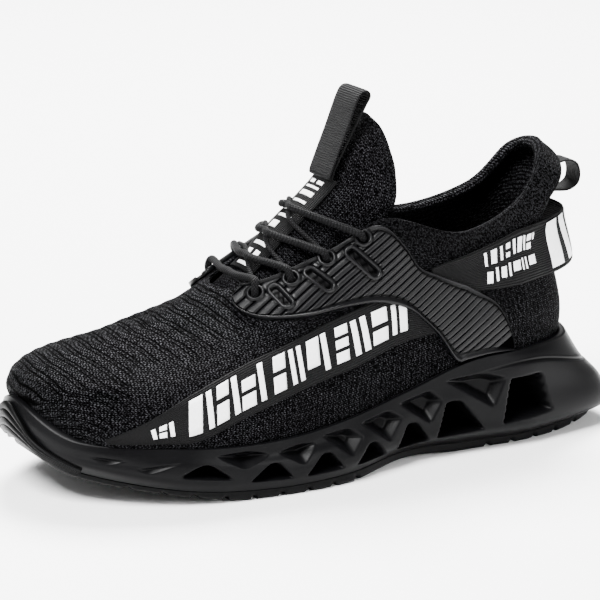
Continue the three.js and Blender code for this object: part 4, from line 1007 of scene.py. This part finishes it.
def build_tongue_tape():
    """Webbing down the tongue with its print, and its stitched pull loop."""
    model = shoe()
    sizes = model.sizes
    rows = np.linspace(TAPE_FRONT_ROW, TAPE_STITCH_ROW, 90)[:, None]
    side, height = tape_section(40)
    distance = sizes.tongue_tape_width * (side - 0.5)[None, :]
    turns = model.tongue_turn(rows + 0 * distance, distance)
    tape = model.over_tongue(rows, turns, (sizes.overlay_lift + sizes.tape_wall * height)[None, :])
    skin("tongue_tape", tape, "Webbing along", ["tongue_tape"])

    face = sizes.overlay_lift + sizes.tape_wall
    stitch = model.over_tongue(TAPE_STITCH_ROW, 0, face)
    size = sizes.tongue_loop_height
    loop = [(model.along(stitch) + ahead * size, stitch[2] + up * size) for ahead, up in TONGUE_LOOP]
    grid = ribbon(model, loop, sizes.tongue_tape_width, TONGUE_SHIFT)
    skin("tongue_loop", grid, "Webbing across", capped=False)

    patches = []
    for start, end, low, high in TONGUE_PRINT:
        rows = np.linspace(start, end, 7)[:, None]
        distance = np.linspace(low, high, 7)[None, :] * sizes.tongue_tape_width / 2
        turns = model.tongue_turn(rows + 0 * distance, distance)
        patches.append(model.over_tongue(rows, turns, face + PRINT_GAP))
    build_print("tongue_print", patches)


def build_heel_loop():
    """Webbing loop at the back of the heel tab."""
    model = shoe()
    sizes = model.sizes
    on_heel = []
    for level in HEEL_LOOP_LEVELS:
        point = model.upper.lifted(0.0, level, 0.0012)
        on_heel.append((model.along(point), point[2]))
    root = on_heel[-1]
    free = [(root[0] - back * sizes.heel_loop_depth, root[1] + up * sizes.heel_loop_depth)
            for back, up in HEEL_LOOP]
    grid = ribbon(model, on_heel + free, sizes.heel_loop_width, 0.0)
    skin("heel_loop", grid, "Webbing along", ["heel_loop"], capped=False)


# Moulded eyestays

RIB_SLOPE = radians(32)
RIB_START = 0.083
RIB_PITCH = 0.0032
RIB_GROWTH = -0.007
TRIM_FACE = 0.0015


def distance_to(points, first, last):
    """Distance of each point from a straight stretch."""
    run = last - first
    length = np.dot(run, run)
    share = 0 if length == 0 else np.clip((points - first) @ run / length, 0, 1)
    return np.linalg.norm(points - (first + np.multiply.outer(share, run)), axis=-1)


def eyestay_relief(model, points, shares, mirror):
    """Height of the trim's ribs, beads and rings, and the fields that its finish reads, painted shade among
    them.
    """
    sizes = model.sizes
    ahead = model.along(points) * np.sin(RIB_SLOPE) + points[..., 2] * np.cos(RIB_SLOPE)
    run = np.clip(ahead - RIB_START, 0, None)
    rib = np.log(1 + run * RIB_GROWTH / RIB_PITCH) / RIB_GROWTH
    place = rib - np.floor(rib)
    ribs = 0.0006 * (1 - np.abs(2 * place - 1) ** 5 - 0.3 * place)

    # A bead along the edge, and a trench that parts it from the ribs, darkened as painted shade
    edge = np.minimum(shares, 1 - shares) * 0.03
    trench = bell(edge - 0.0027, 0.0006)
    rib_depth = smooth_step(0.0022, 0.0034, edge)
    height = ribs * rib_depth + 0.0011 * bell(edge - 0.001, 0.0008) - 0.0003 * trench
    groove = trench * 0.9

    # A ring and a moat round each eyelet and slot, in a flat that the ribs stop at. The moat and the
    # recessed opening are darkened as painted shade.
    spots = [(eyelet[:2], eyelet[:2], sizes.eyelet_radius) for eyelet in EYELETS]
    spots += [(first, last, sizes.slot_radius) for first, last in SLOTS]
    for first, last, radius in spots:
        start, end = [model.on_upper(*centre, TRIM_FACE, mirror) for centre in (first, last)]
        away = distance_to(points, start, end) - radius
        flat = 1 - smooth_step(0.0016, 0.0024, away)
        moat = bell(away - 0.0021, 0.0004)
        opened = 1 - smooth_step(-0.0006, 0.0002, away)
        height = height * (1 - flat) + flat * 0.0006 + 0.0006 * bell(away - 0.0009, 0.0006) - moat * 0.0003
        height = height * (1 - opened) - opened * 0.0021
        rib_depth = rib_depth * (1 - flat)
        groove = np.maximum(np.maximum(groove * (1 - flat), moat * 0.8), opened)
    return height, {"groove": groove, "rib": rib, "rib_depth": rib_depth}


def eyestay_section():
    """Shares across the trim and of its height: few points behind it, many on its face."""
    back = np.linspace(1, 0, 9)
    face = np.linspace(0, 1, 105)[1:-1]
    heights = np.concatenate([0 * back, 1 + 0 * face, [0.0]])
    heights[len(back)] = heights[-2] = 0.6
    return np.concatenate([back, face, [1.0]]), heights


def build_eyestays():
    """Moulded trim on both sides of the lacing, with its eyelets and long slots."""
    model = shoe()
    sizes = model.sizes
    stations, levels, shares, heights = band(EYESTAY_ROWS, 430, eyestay_section())
    for side, mirror in SIDES.items():
        points = model.on_upper(stations, levels, TRIM_FACE, mirror)
        relief, fields = eyestay_relief(model, points, shares, mirror)
        thickness = (sizes.eyestay_wall * 0.8 + relief) * heights
        lift = np.where(heights > 0, sizes.overlay_lift + thickness, 0.0004)
        grid = model.on_upper(stations, levels, lift, mirror)
        name = f"eyestay_{side}"
        skin(name, grid, "Moulded trim", [name], True, fields)


# Side tapes, heel strap and the blocks printed on them

PRINT_GAP = 0.00008
PRINT_WALL = 0.00012

# Start and end as rows of the tape, low and high edge as shares across it, and lean
SIDE_PRINT = [
    (1.0, 1.14, 0.22, 0.78, 0.0), (1.2, 1.28, 0.22, 0.8, 0.0), (1.36, 1.62, 0.2, 0.44, 0.0),
    (1.36, 1.62, 0.54, 0.82, 0.0), (1.7, 1.8, 0.18, 0.83, 0.03), (1.87, 1.97, 0.18, 0.83, 0.03),
    (2.06, 2.3, 0.18, 0.36, 0.0), (2.06, 2.3, 0.43, 0.59, 0.0), (2.06, 2.3, 0.66, 0.84, 0.0),
    (2.46, 2.56, 0.16, 0.85, 0.03), (2.63, 2.87, 0.3, 0.85, 0.0), (2.96, 3.04, 0.16, 0.85, 0.03),
    (3.11, 3.19, 0.16, 0.85, 0.03), (3.29, 3.52, 0.16, 0.46, 0.0), (3.29, 3.52, 0.55, 0.86, 0.0),
    (3.7, 3.8, 0.15, 0.87, 0.03), (3.87, 4.13, 0.15, 0.4, 0.0), (3.87, 4.13, 0.48, 0.7, 0.0),
    (4.2, 4.3, 0.15, 0.87, 0.03), (4.38, 4.6, 0.15, 0.5, 0.0), (4.38, 4.6, 0.6, 0.87, 0.0),
    (4.68, 4.78, 0.15, 0.87, 0.03), (4.88, 5.16, 0.15, 0.87, 0.0), (5.5, 5.6, 0.22, 0.6, 0.02),
    (5.67, 5.84, 0.22, 0.38, 0.0), (5.67, 5.84, 0.45, 0.6, 0.0), (5.91, 6.0, 0.22, 0.6, 0.02),
]
STRAP_PRINT = [
    (4.9, 5.24, 0.08, 0.46, 0.0), (4.9, 5.24, 0.56, 0.92, 0.0), (5.34, 5.48, 0.08, 0.92, 0.03),
    (5.58, 5.72, 0.08, 0.92, 0.03), (5.82, 6.12, 0.08, 0.92, 0.0), (6.72, 6.8, 0.55, 0.84, 0.02),
    (6.9, 7.14, 0.55, 0.67, 0.0), (6.9, 7.14, 0.72, 0.84, 0.0), (7.26, 7.36, 0.56, 0.85, 0.02),
    (7.48, 7.74, 0.56, 0.85, 0.0), (7.86, 7.96, 0.56, 0.86, 0.02), (8.08, 8.2, 0.54, 0.64, 0.0),
    (8.08, 8.2, 0.72, 0.84, 0.0), (8.3, 8.36, 0.52, 0.84, 0.01), (8.46, 8.6, 0.5, 0.84, 0.0),
    (8.7, 8.76, 0.48, 0.84, 0.01), (6.74, 7.06, 0.26, 0.42, 0.0), (7.2, 7.28, 0.22, 0.43, 0.02),
    (7.42, 7.5, 0.22, 0.43, 0.02), (7.62, 7.96, 0.24, 0.41, 0.0), (8.06, 8.12, 0.18, 0.42, 0.01),
    (8.2, 8.34, 0.18, 0.38, 0.0), (8.42, 8.48, 0.14, 0.4, 0.01), (8.56, 8.7, 0.12, 0.34, 0.0),
]
# Start and end as rows of the tongue, and the two ends as shares of the tape's half width
TONGUE_PRINT = [
    (2.0, 2.08, -0.5, 0.5), (2.2, 2.4, -0.5, -0.14), (2.2, 2.4, 0.14, 0.5), (2.52, 2.6, -0.5, 0.5),
    (2.76, 2.84, -0.5, 0.5), (2.96, 3.14, -0.5, 0.1), (3.28, 3.36, -0.5, 0.5), (3.5, 3.66, -0.5, -0.16),
    (3.5, 3.66, 0.12, 0.5), (3.8, 3.88, -0.5, 0.5), (4.06, 4.22, -0.5, 0.5), (4.36, 4.44, -0.5, 0.5),
    (4.56, 4.7, -0.5, -0.1), (4.56, 4.7, 0.12, 0.5),
]


def standing_off(stations, standoff):
    """Gap behind a band that stands off at the heel and lies on the knit beside it."""
    return standoff * (1 - smooth_step(0.3, 1.7, np.abs(stations)))


def blocks_on(model, rows, face, blocks, detail, mirror=False, standoff=0.0):
    """Grid of points for each block printed on a band."""
    patches = []
    for start, end, low, high, lean in blocks:
        places = []
        for share in np.linspace(0, 1, 6):
            run = np.linspace(start, end, detail) + lean * (share - 0.5) * 2
            stations, bottom, top = on_curve(rows, run).T
            levels = bottom + (top - bottom) * (low + (high - low) * share)
            lift = standing_off(stations, standoff) + face + PRINT_GAP
            places.append(model.on_upper(stations, levels, lift, mirror))
        patches.append(np.array(places))
    return patches


def build_print(name, patches):
    """Thin closed blocks, joined in one piece."""
    bm = bmesh.new()
    bm.loops.layers.uv.new("Lengths")
    for places in patches:
        rows, columns = places.shape[:2]
        made = bmesh.ops.create_grid(bm, x_segments=columns - 1, y_segments=rows - 1, size=1)["verts"]
        for vert in made:
            row = int(round((vert.co.y + 1) / 2 * (rows - 1)))
            column = int(round((vert.co.x + 1) / 2 * (columns - 1)))
            vert.co = places[row, column]
        faces = list({face for vert in made for face in vert.link_faces})
        bmesh.ops.recalc_face_normals(bm, faces=faces)
        bmesh.ops.solidify(bm, geom=faces, thickness=PRINT_WALL)
    finished(name, bm, "Print")


def build_side_tapes():
    """Woven tapes along both sides of the forefoot, with their print."""
    model = shoe()
    sizes = model.sizes
    foot = sizes.overlay_lift * 0.6
    stations, levels, _, heights = band(SIDE_TAPE_ROWS, 240, tape_section(64))
    for side, mirror in SIDES.items():
        name = f"side_tape_{side}"
        grid = model.on_upper(stations, levels, foot + sizes.tape_wall * heights, mirror)
        skin(name, grid, "Webbing along", [name])
        patches = blocks_on(model, SIDE_TAPE_ROWS, foot + sizes.tape_wall, SIDE_PRINT, 7, mirror)
        build_print(f"side_print_{side}", patches)


def build_heel_strap():
    """Strap round the heel, standing off behind it, with its print."""
    model = shoe()
    sizes = model.sizes
    stations, levels, _, heights = band(STRAP_ROWS, 300, tape_section(48))
    lift = sizes.overlay_lift + standing_off(stations, sizes.strap_standoff) + sizes.tape_wall * heights
    grid = model.upper.lifted(stations, levels, lift)
    skin("heel_strap", grid, "Webbing along", ["heel_strap"])
    face = sizes.overlay_lift + sizes.tape_wall
    patches = blocks_on(model, STRAP_ROWS, face, STRAP_PRINT, 10, standoff=sizes.strap_standoff)
    build_print("strap_print", patches)


# Sole

SOLE_COLUMNS = 860
FLANK_ROWS = 96
CUP_LEVEL = 0.74
PIECE_GAP = 0.0003
TREAD_ROWS = 16
TREAD_PITCH = 0.0135
TREAD_DEPTH = 0.0022
GROOVE_HALF = 0.0009
GROOVE_EDGE = 0.0008
BUMPER_RIBS = 5


def polygon_depth(along, up, corners, softness):
    """Distance inside an outline, with its corners rounded."""
    following = corners[1:] + corners[:1]
    area = sum(first[0] * last[1] - last[0] * first[1] for first, last in zip(corners, following))
    total = 0
    for first, last in zip(np.array(corners), np.array(following)):
        run = (last - first) / np.linalg.norm(last - first)
        inside = np.sign(area) * (run[0] * (up - first[1]) - run[1] * (along - first[0]))
        total = total + np.exp(-np.clip(inside, -0.03, 0.03) / softness)
    return -softness * np.log(total)


def flank_relief(model, points):
    """How far the cuts in the flank reach in, and the painted shade inside them."""
    sizes = model.sizes
    along = model.along(points)
    up = points[..., 2]
    depth = 0 * along
    groove = 0 * along
    for corners in HOLES + POCKETS:
        outline = [(share * sizes.sole_length, height * sizes.sole_height) for share, height in corners]
        if corners in HOLES:
            inside = polygon_depth(along, up, outline, 0.0007) + 0.0004
            cut = smooth_step(0.0, 0.0026, inside) * sizes.hole_depth
            shade = smooth_step(0.0004, 0.0024, inside)
        else:
            inside = polygon_depth(along, up, outline, 0.0006) + 0.0002
            cut = np.clip(inside * 1.5, 0, sizes.pocket_depth)
            shade = 0.35 * smooth_step(0.001, 0.004, inside)
        depth = np.maximum(depth, cut)
        groove = np.maximum(groove, shade)
    return depth, groove


def sole_columns():
    """Stations with the same places on both sides, so that the two meet on the middle line."""
    half = np.linspace(0, STATIONS / 2, SOLE_COLUMNS // 2 + 1)
    return np.concatenate([half, STATIONS - half[-2::-1]])[None, :]


def middle_line(model, points):
    """Middle of the sole beside each point: the two sides meet there."""
    length = model.sizes.sole_length
    centre = 0.5 * (points + points[:, ::-1])
    centre[..., 1] = model.shift[1] - np.clip(model.along(points), 0.06 * length, 0.95 * length)
    centre[..., 1] = 0.5 * (centre[..., 1] + centre[:, ::-1, 1])
    return centre


def build_midsole():
    """Foam midsole: underside, flank with holes and scoops, rim, lip and floor of the cup."""
    model = shoe()
    columns = sole_columns()
    levels = np.linspace(0, 1, FLANK_ROWS + 1)[:, None]
    flank = model.sole.at(columns + 0 * levels, levels + 0 * columns)
    normal = model.sole.outward(columns + 0 * levels, levels + 0 * columns)
    level_normal = unit(normal * np.array([1, 1, 0]))
    depth, groove = flank_relief(model, flank)

    # A crease below the cup of the heel, with a faint swell under it; the crease also gets painted shade
    heel = 1 - smooth_step(2.2, 3.2, from_heel(columns))
    crease = bell(levels - CUP_LEVEL, 0.014) * heel
    cup = smooth_step(CUP_LEVEL, CUP_LEVEL + 0.04, levels) * heel
    swell = 0.0006 * (1 - cup) * heel * smooth_step(0.5, 0.7, levels)
    flank = flank + level_normal * (swell - depth)[..., None] - normal * (crease * 0.0009)[..., None]

    # Lip over the rim, wall of the cup down to the upper's foot, and floor
    rim = model.sole.at(columns, np.ones((1, 1)))
    lip_edge = model.upper.lifted(columns, np.full((1, 1), 0.045), PIECE_GAP)
    lip_edge[..., 2] = rim[..., 2]
    lip = [rim + (lip_edge - rim) * share + np.array([0, 0, 0.0004]) * np.sin(pi * share)
           for share in (0.25, 0.5, 0.75, 1.0)]
    foot = model.upper.lifted(columns, np.zeros((1, 1)), PIECE_GAP)
    foot[..., 2] -= PIECE_GAP
    wall = [lip_edge + (foot - lip_edge) * share for share in (0.5, 1.0)]
    centre = middle_line(model, foot)
    floor = [foot + (centre - foot) * share for share in (0.5, 1.0)]

    under = flank[:1]
    below = middle_line(model, under)
    below[..., 2] = 0.5 * (under[..., 2] + under[:, ::-1, 2])
    start = [below + (under - below) * share for share in (0.0, 0.5)]
    places = np.concatenate([*start, flank, *lip, *wall, *floor])
    # Painted shade in the holes, the scoops and the crease
    midsole_shade = np.zeros(places.shape[:2])
    midsole_shade[len(start):len(start) + len(groove)] = groove + 0.6 * crease
    skin("midsole", places, "Foam", ["midsole"], True, {"groove": midsole_shade})


def tread_cut(model, along):
    """How far each point lies in the grooves across the tread, 0 to 1."""
    length = model.sizes.sole_length
    cut = 0 * along
    for start, end in GROOVE_ZONES:
        for i in range(int((end - start) * length / TREAD_PITCH)):
            away = np.abs(along - start * length - i * TREAD_PITCH)
            cut = np.maximum(cut, 1 - smooth_step(GROOVE_HALF, GROOVE_HALF + GROOVE_EDGE, away))
    return cut


def build_outsole():
    """Rubber outsole with grooves right across its tread, stepped at its edge."""
    model = shoe()
    columns = sole_columns()
    ground = on_loop(model.tread, columns)
    ground[..., 2] = np.maximum(0, ground[..., 2])
    top = on_loop(model.sole.rings[0], columns) - np.array([0, 0, PIECE_GAP])
    outwards = unit((top - middle_line(model, top)) * np.array([1, 1, 0]))
    centre = middle_line(model, ground)
    crown = middle_line(model, top)
    rows = []
    for share in np.linspace(0, 1, TREAD_ROWS):
        ring = centre + (ground - centre) * share
        ring[..., 2] = ground[..., 2]
        rows.append(ring)
    for share in (0.08, 0.3, 0.5, 0.8, 1.0):
        step = 0.0012 * np.sin(pi * min(1.0, share + 0.2))
        rows.append(ground + (top - ground) * share + outwards * step)
    places = np.concatenate([*rows, top + (crown - top) * 0.5, crown])

    # The grooves reach up the tread and fade over its edge.
    cut = tread_cut(model, model.along(places))
    lower = np.array([1.0] * TREAD_ROWS + [1.0, 0.6, 0.0, 0.0, 0.0, 0.0, 0.0])[:, None]
    places[..., 2] += TREAD_DEPTH * cut * lower
    edge = np.array([0.0] * (TREAD_ROWS - 2) + [0.5, 1.0, 1.0, 0.7, 0.2, 0.0, 0.0, 0.0, 0.0])[:, None]
    places = places - outwards * (0.0015 * cut * edge)[..., None]
    for row in (0, -1):
        places[row] = 0.5 * (places[row] + places[row, ::-1])
    # The finish darkens the tread's grooves as painted shade
    skin("outsole", places, "Rubber", ["outsole"], True, {"groove": cut * lower})


def build_bumper():
    """Ribbed rubber bumper over the toe."""
    model = shoe()
    rows = [(station, 0.0, high) for station, high in BUMPER_ROWS]
    shares = np.concatenate([np.linspace(1, 0, 7), np.linspace(0, 1, 91)[1:]])
    face = np.concatenate([np.zeros(7), [0.5], np.ones(88), [0.0]])
    edges = on_curve(rows, np.linspace(0, len(rows) - 1, 241))
    stations = edges[:, 0:1] + 0 * shares[None, :]
    levels = edges[:, 2:3] * shares[None, :]
    rib = np.abs(np.sin(pi * shares * BUMPER_RIBS))
    fade = np.clip(edges[:, 2:3] * 2.5, 0.3, 1)
    height = (0.0012 + 0.0009 * rib ** 0.7) * face * fade
    grid = model.sole.lifted(stations, levels, np.where(face > 0, PIECE_GAP + height, -0.0002))
    # Painted shade between the ribs
    groove = (1 - rib) ** 2 * (face > 0) + 0 * levels
    skin("toe_bumper", grid, "Rubber", (), True, {"groove": groove})


# Laces

LACE_SIDES = 20
LACE_STEP = 0.0011
BAR_TURNS = (0.17, 0.0, -0.17)
CROSSING_THINNESS = 0.62
# Share of the way to the next bar, and turn across the tongue, of each crossing of the lace
CROSSING_TURNS = [(0.62, 0.2), (1.0, 0.0), (1.3, -0.18)]


def build_laces():
    """Round lace: bars over the tongue from eyelet to eyelet, and the crossings between them."""
    model = shoe()
    sizes = model.sizes
    over_trim = sizes.overlay_lift + sizes.eyestay_wall + sizes.lace_radius + 0.0012
    over_tape = sizes.overlay_lift + sizes.tape_wall + sizes.lace_radius + 0.0006
    under_bar = over_tape - sizes.lace_radius * 0.5
    routes = []
    for i, (station, level, crossing) in enumerate(EYELETS):
        # Out of the hole, over its ring and over the edge of the eyestay
        leave, arrive = [[
            model.on_upper(station, level - 0.03, -0.004, mirror),
            model.on_upper(station, level - 0.01, 0.0004, mirror),
            model.on_upper(station + 0.03, level + 0.02, over_trim - 0.001, mirror),
            model.on_upper(station + 0.1, min(1.0, level + 0.07), over_trim, mirror),
        ] for mirror in SIDES.values()]
        across = [model.over_tongue(crossing, turn, over_tape) for turn in BAR_TURNS]
        routes.append((leave + across + arrive[::-1], sizes.lace_radius))
        if i + 1 < len(EYELETS):
            following = EYELETS[i + 1]
            step = following[2] - crossing
            route = [model.over_tongue(crossing + share * step, turn, under_bar)
                     for share, turn in CROSSING_TURNS]
            route.insert(0, model.on_upper(station + 0.02, level + 0.02, over_trim - 0.0016, False))
            route.append(model.on_upper(following[0] + 0.05, 1.0, over_trim - 0.0012, True))
            routes.append((route, sizes.lace_radius * CROSSING_THINNESS))
    for number, (route, radius) in enumerate(routes, 1):
        grid = sweep(evenly(route, LACE_STEP), radius, LACE_SIDES)
        skin(f"lace_{number}", grid, "Lace", ["laces"] if number == 1 else [])


# Stage

CAMERA_TARGET = (-0.0016, -0.0047, 0.06)
CAMERA_AZIMUTH = radians(61.16)
CAMERA_ELEVATION = radians(15.72)
CAMERA_ROLL = radians(0.29)
CAMERA_DISTANCE = 1.5
SENSOR_WIDTH = 36
PHOTO_WIDTH = 600
FOCAL_PIXELS = 3214
PHOTO_CENTRE = (301.8, 324.8)
# Name, place, size and watts of each light, all aimed at the shoe
LIGHTS = [
    ("key", (0.4, -1.1, 1.8), 0.9, 190.0),
    ("side", (1.7, 0.7, 0.8), 0.7, 30.0),
    ("back", (-1.1, 0.6, 1.7), 0.9, 250.0),
]


def build_stage():
    """Pale floor, soft lights and the camera at the photograph's angle."""
    scene = bpy.context.scene
    bm = bmesh.new()
    bmesh.ops.create_grid(bm, x_segments=1, y_segments=1, size=8)
    mesh = bpy.data.meshes.new("floor")
    bm.to_mesh(mesh)
    bm.free()
    mesh.materials.append(finish_named("Floor"))
    floor = bpy.data.objects.new("floor", mesh)
    scene.collection.objects.link(floor)

    world = bpy.data.worlds.new("Studio")
    world.use_nodes = True
    background = world.node_tree.nodes["Background"]
    background.inputs["Color"].default_value = (1, 1, 1, 1)
    background.inputs["Strength"].default_value = 0.5
    scene.world = world

    for name, place, size, power in LIGHTS:
        light = bpy.data.lights.new(name, "AREA")
        light.size = size
        light.energy = power
        holder = bpy.data.objects.new(name, light)
        holder.location = place
        aim = Vector(CAMERA_TARGET) - Vector(place)
        holder.rotation_euler = aim.to_track_quat("-Z", "Y").to_euler()
        scene.collection.objects.link(holder)

    camera = bpy.data.cameras.new("camera")
    camera.sensor_width = SENSOR_WIDTH
    camera.lens = SENSOR_WIDTH * FOCAL_PIXELS / PHOTO_WIDTH
    camera.shift_x = (PHOTO_WIDTH / 2 - PHOTO_CENTRE[0]) / PHOTO_WIDTH
    camera.shift_y = (PHOTO_CENTRE[1] - PHOTO_WIDTH / 2) / PHOTO_WIDTH
    camera.clip_end = 50
    holder = bpy.data.objects.new("camera", camera)
    sight = Vector((
        np.sin(CAMERA_AZIMUTH) * np.cos(CAMERA_ELEVATION),
        -np.cos(CAMERA_AZIMUTH) * np.cos(CAMERA_ELEVATION),
        np.sin(CAMERA_ELEVATION)))
    holder.location = Vector(CAMERA_TARGET) + sight * CAMERA_DISTANCE
    turn = (-sight).to_track_quat("-Z", "Y").to_matrix() @ Matrix.Rotation(CAMERA_ROLL, 3, "Z")
    holder.rotation_euler = turn.to_euler()
    scene.collection.objects.link(holder)
    scene.camera = holder


# Operators, panel and registration

class SNEAKER_OT_stage(bpy.types.Operator):
    """Add the floor, the lights and the camera"""

    bl_idname = "sneaker.stage"
    bl_label = "Stage"
    bl_options = {"REGISTER", "UNDO"}

    def execute(self, context):
        build_stage()
        return {"FINISHED"}


class SNEAKER_OT_sole(bpy.types.Operator):
    """Build the outsole, its toe bumper and the midsole"""

    bl_idname = "sneaker.sole"
    bl_label = "Sole"
    bl_options = {"REGISTER", "UNDO"}

    def execute(self, context):
        build_outsole()
        build_bumper()
        build_midsole()
        return {"FINISHED"}


class SNEAKER_OT_upper(bpy.types.Operator):
    """Build the knit upper"""

    bl_idname = "sneaker.upper"
    bl_label = "Upper"
    bl_options = {"REGISTER", "UNDO"}

    def execute(self, context):
        build_upper()
        return {"FINISHED"}


class SNEAKER_OT_tongue(bpy.types.Operator):
    """Build the insole, the tongue, its webbing and its pull loop"""

    bl_idname = "sneaker.tongue"
    bl_label = "Tongue and insole"
    bl_options = {"REGISTER", "UNDO"}

    def execute(self, context):
        build_insole()
        build_tongue()
        build_tongue_tape()
        return {"FINISHED"}


class SNEAKER_OT_eyestays(bpy.types.Operator):
    """Build the moulded eyestays of both sides"""

    bl_idname = "sneaker.eyestays"
    bl_label = "Eyestays"
    bl_options = {"REGISTER", "UNDO"}

    def execute(self, context):
        build_eyestays()
        return {"FINISHED"}


class SNEAKER_OT_tapes(bpy.types.Operator):
    """Build the side tapes, the heel strap and the heel loop"""

    bl_idname = "sneaker.tapes"
    bl_label = "Tapes and strap"
    bl_options = {"REGISTER", "UNDO"}

    def execute(self, context):
        build_side_tapes()
        build_heel_strap()
        build_heel_loop()
        return {"FINISHED"}


class SNEAKER_OT_laces(bpy.types.Operator):
    """Run the lace through the eyelets"""

    bl_idname = "sneaker.laces"
    bl_label = "Laces"
    bl_options = {"REGISTER", "UNDO"}

    def execute(self, context):
        build_laces()
        return {"FINISHED"}


OPERATORS = (
    SNEAKER_OT_stage, SNEAKER_OT_sole, SNEAKER_OT_upper, SNEAKER_OT_tongue, SNEAKER_OT_eyestays,
    SNEAKER_OT_tapes, SNEAKER_OT_laces)


class SNEAKER_PT_pieces(bpy.types.Panel):
    """Buttons for the pieces of the sneaker"""

    bl_idname = "SNEAKER_PT_pieces"
    bl_label = "Sneaker"
    bl_space_type = "VIEW_3D"
    bl_region_type = "UI"
    bl_category = "Sneaker"

    def draw(self, context):
        for operator in OPERATORS:
            self.layout.operator(operator.bl_idname)
        for group in (context.scene.sneaker_sizes, context.scene.sneaker_colours):
            for name in group.bl_rna.properties.keys():
                if name not in {"rna_type", "name"}:
                    self.layout.prop(group, name)


CLASSES = (SneakerSizes, SneakerColours, *OPERATORS, SNEAKER_PT_pieces)


def register():
    for item in CLASSES:
        bpy.utils.register_class(item)
    bpy.types.Scene.sneaker_sizes = PointerProperty(type=SneakerSizes)
    bpy.types.Scene.sneaker_colours = PointerProperty(type=SneakerColours)


def unregister():
    del bpy.types.Scene.sneaker_colours
    del bpy.types.Scene.sneaker_sizes
    for item in reversed(CLASSES):
        bpy.utils.unregister_class(item)


def main():
    register()
    bpy.ops.sneaker.stage()
    bpy.ops.sneaker.sole()
    bpy.ops.sneaker.upper()
    bpy.ops.sneaker.tongue()
    bpy.ops.sneaker.eyestays()
    bpy.ops.sneaker.tapes()
    bpy.ops.sneaker.laces()


if __name__ == "__main__":
    main()
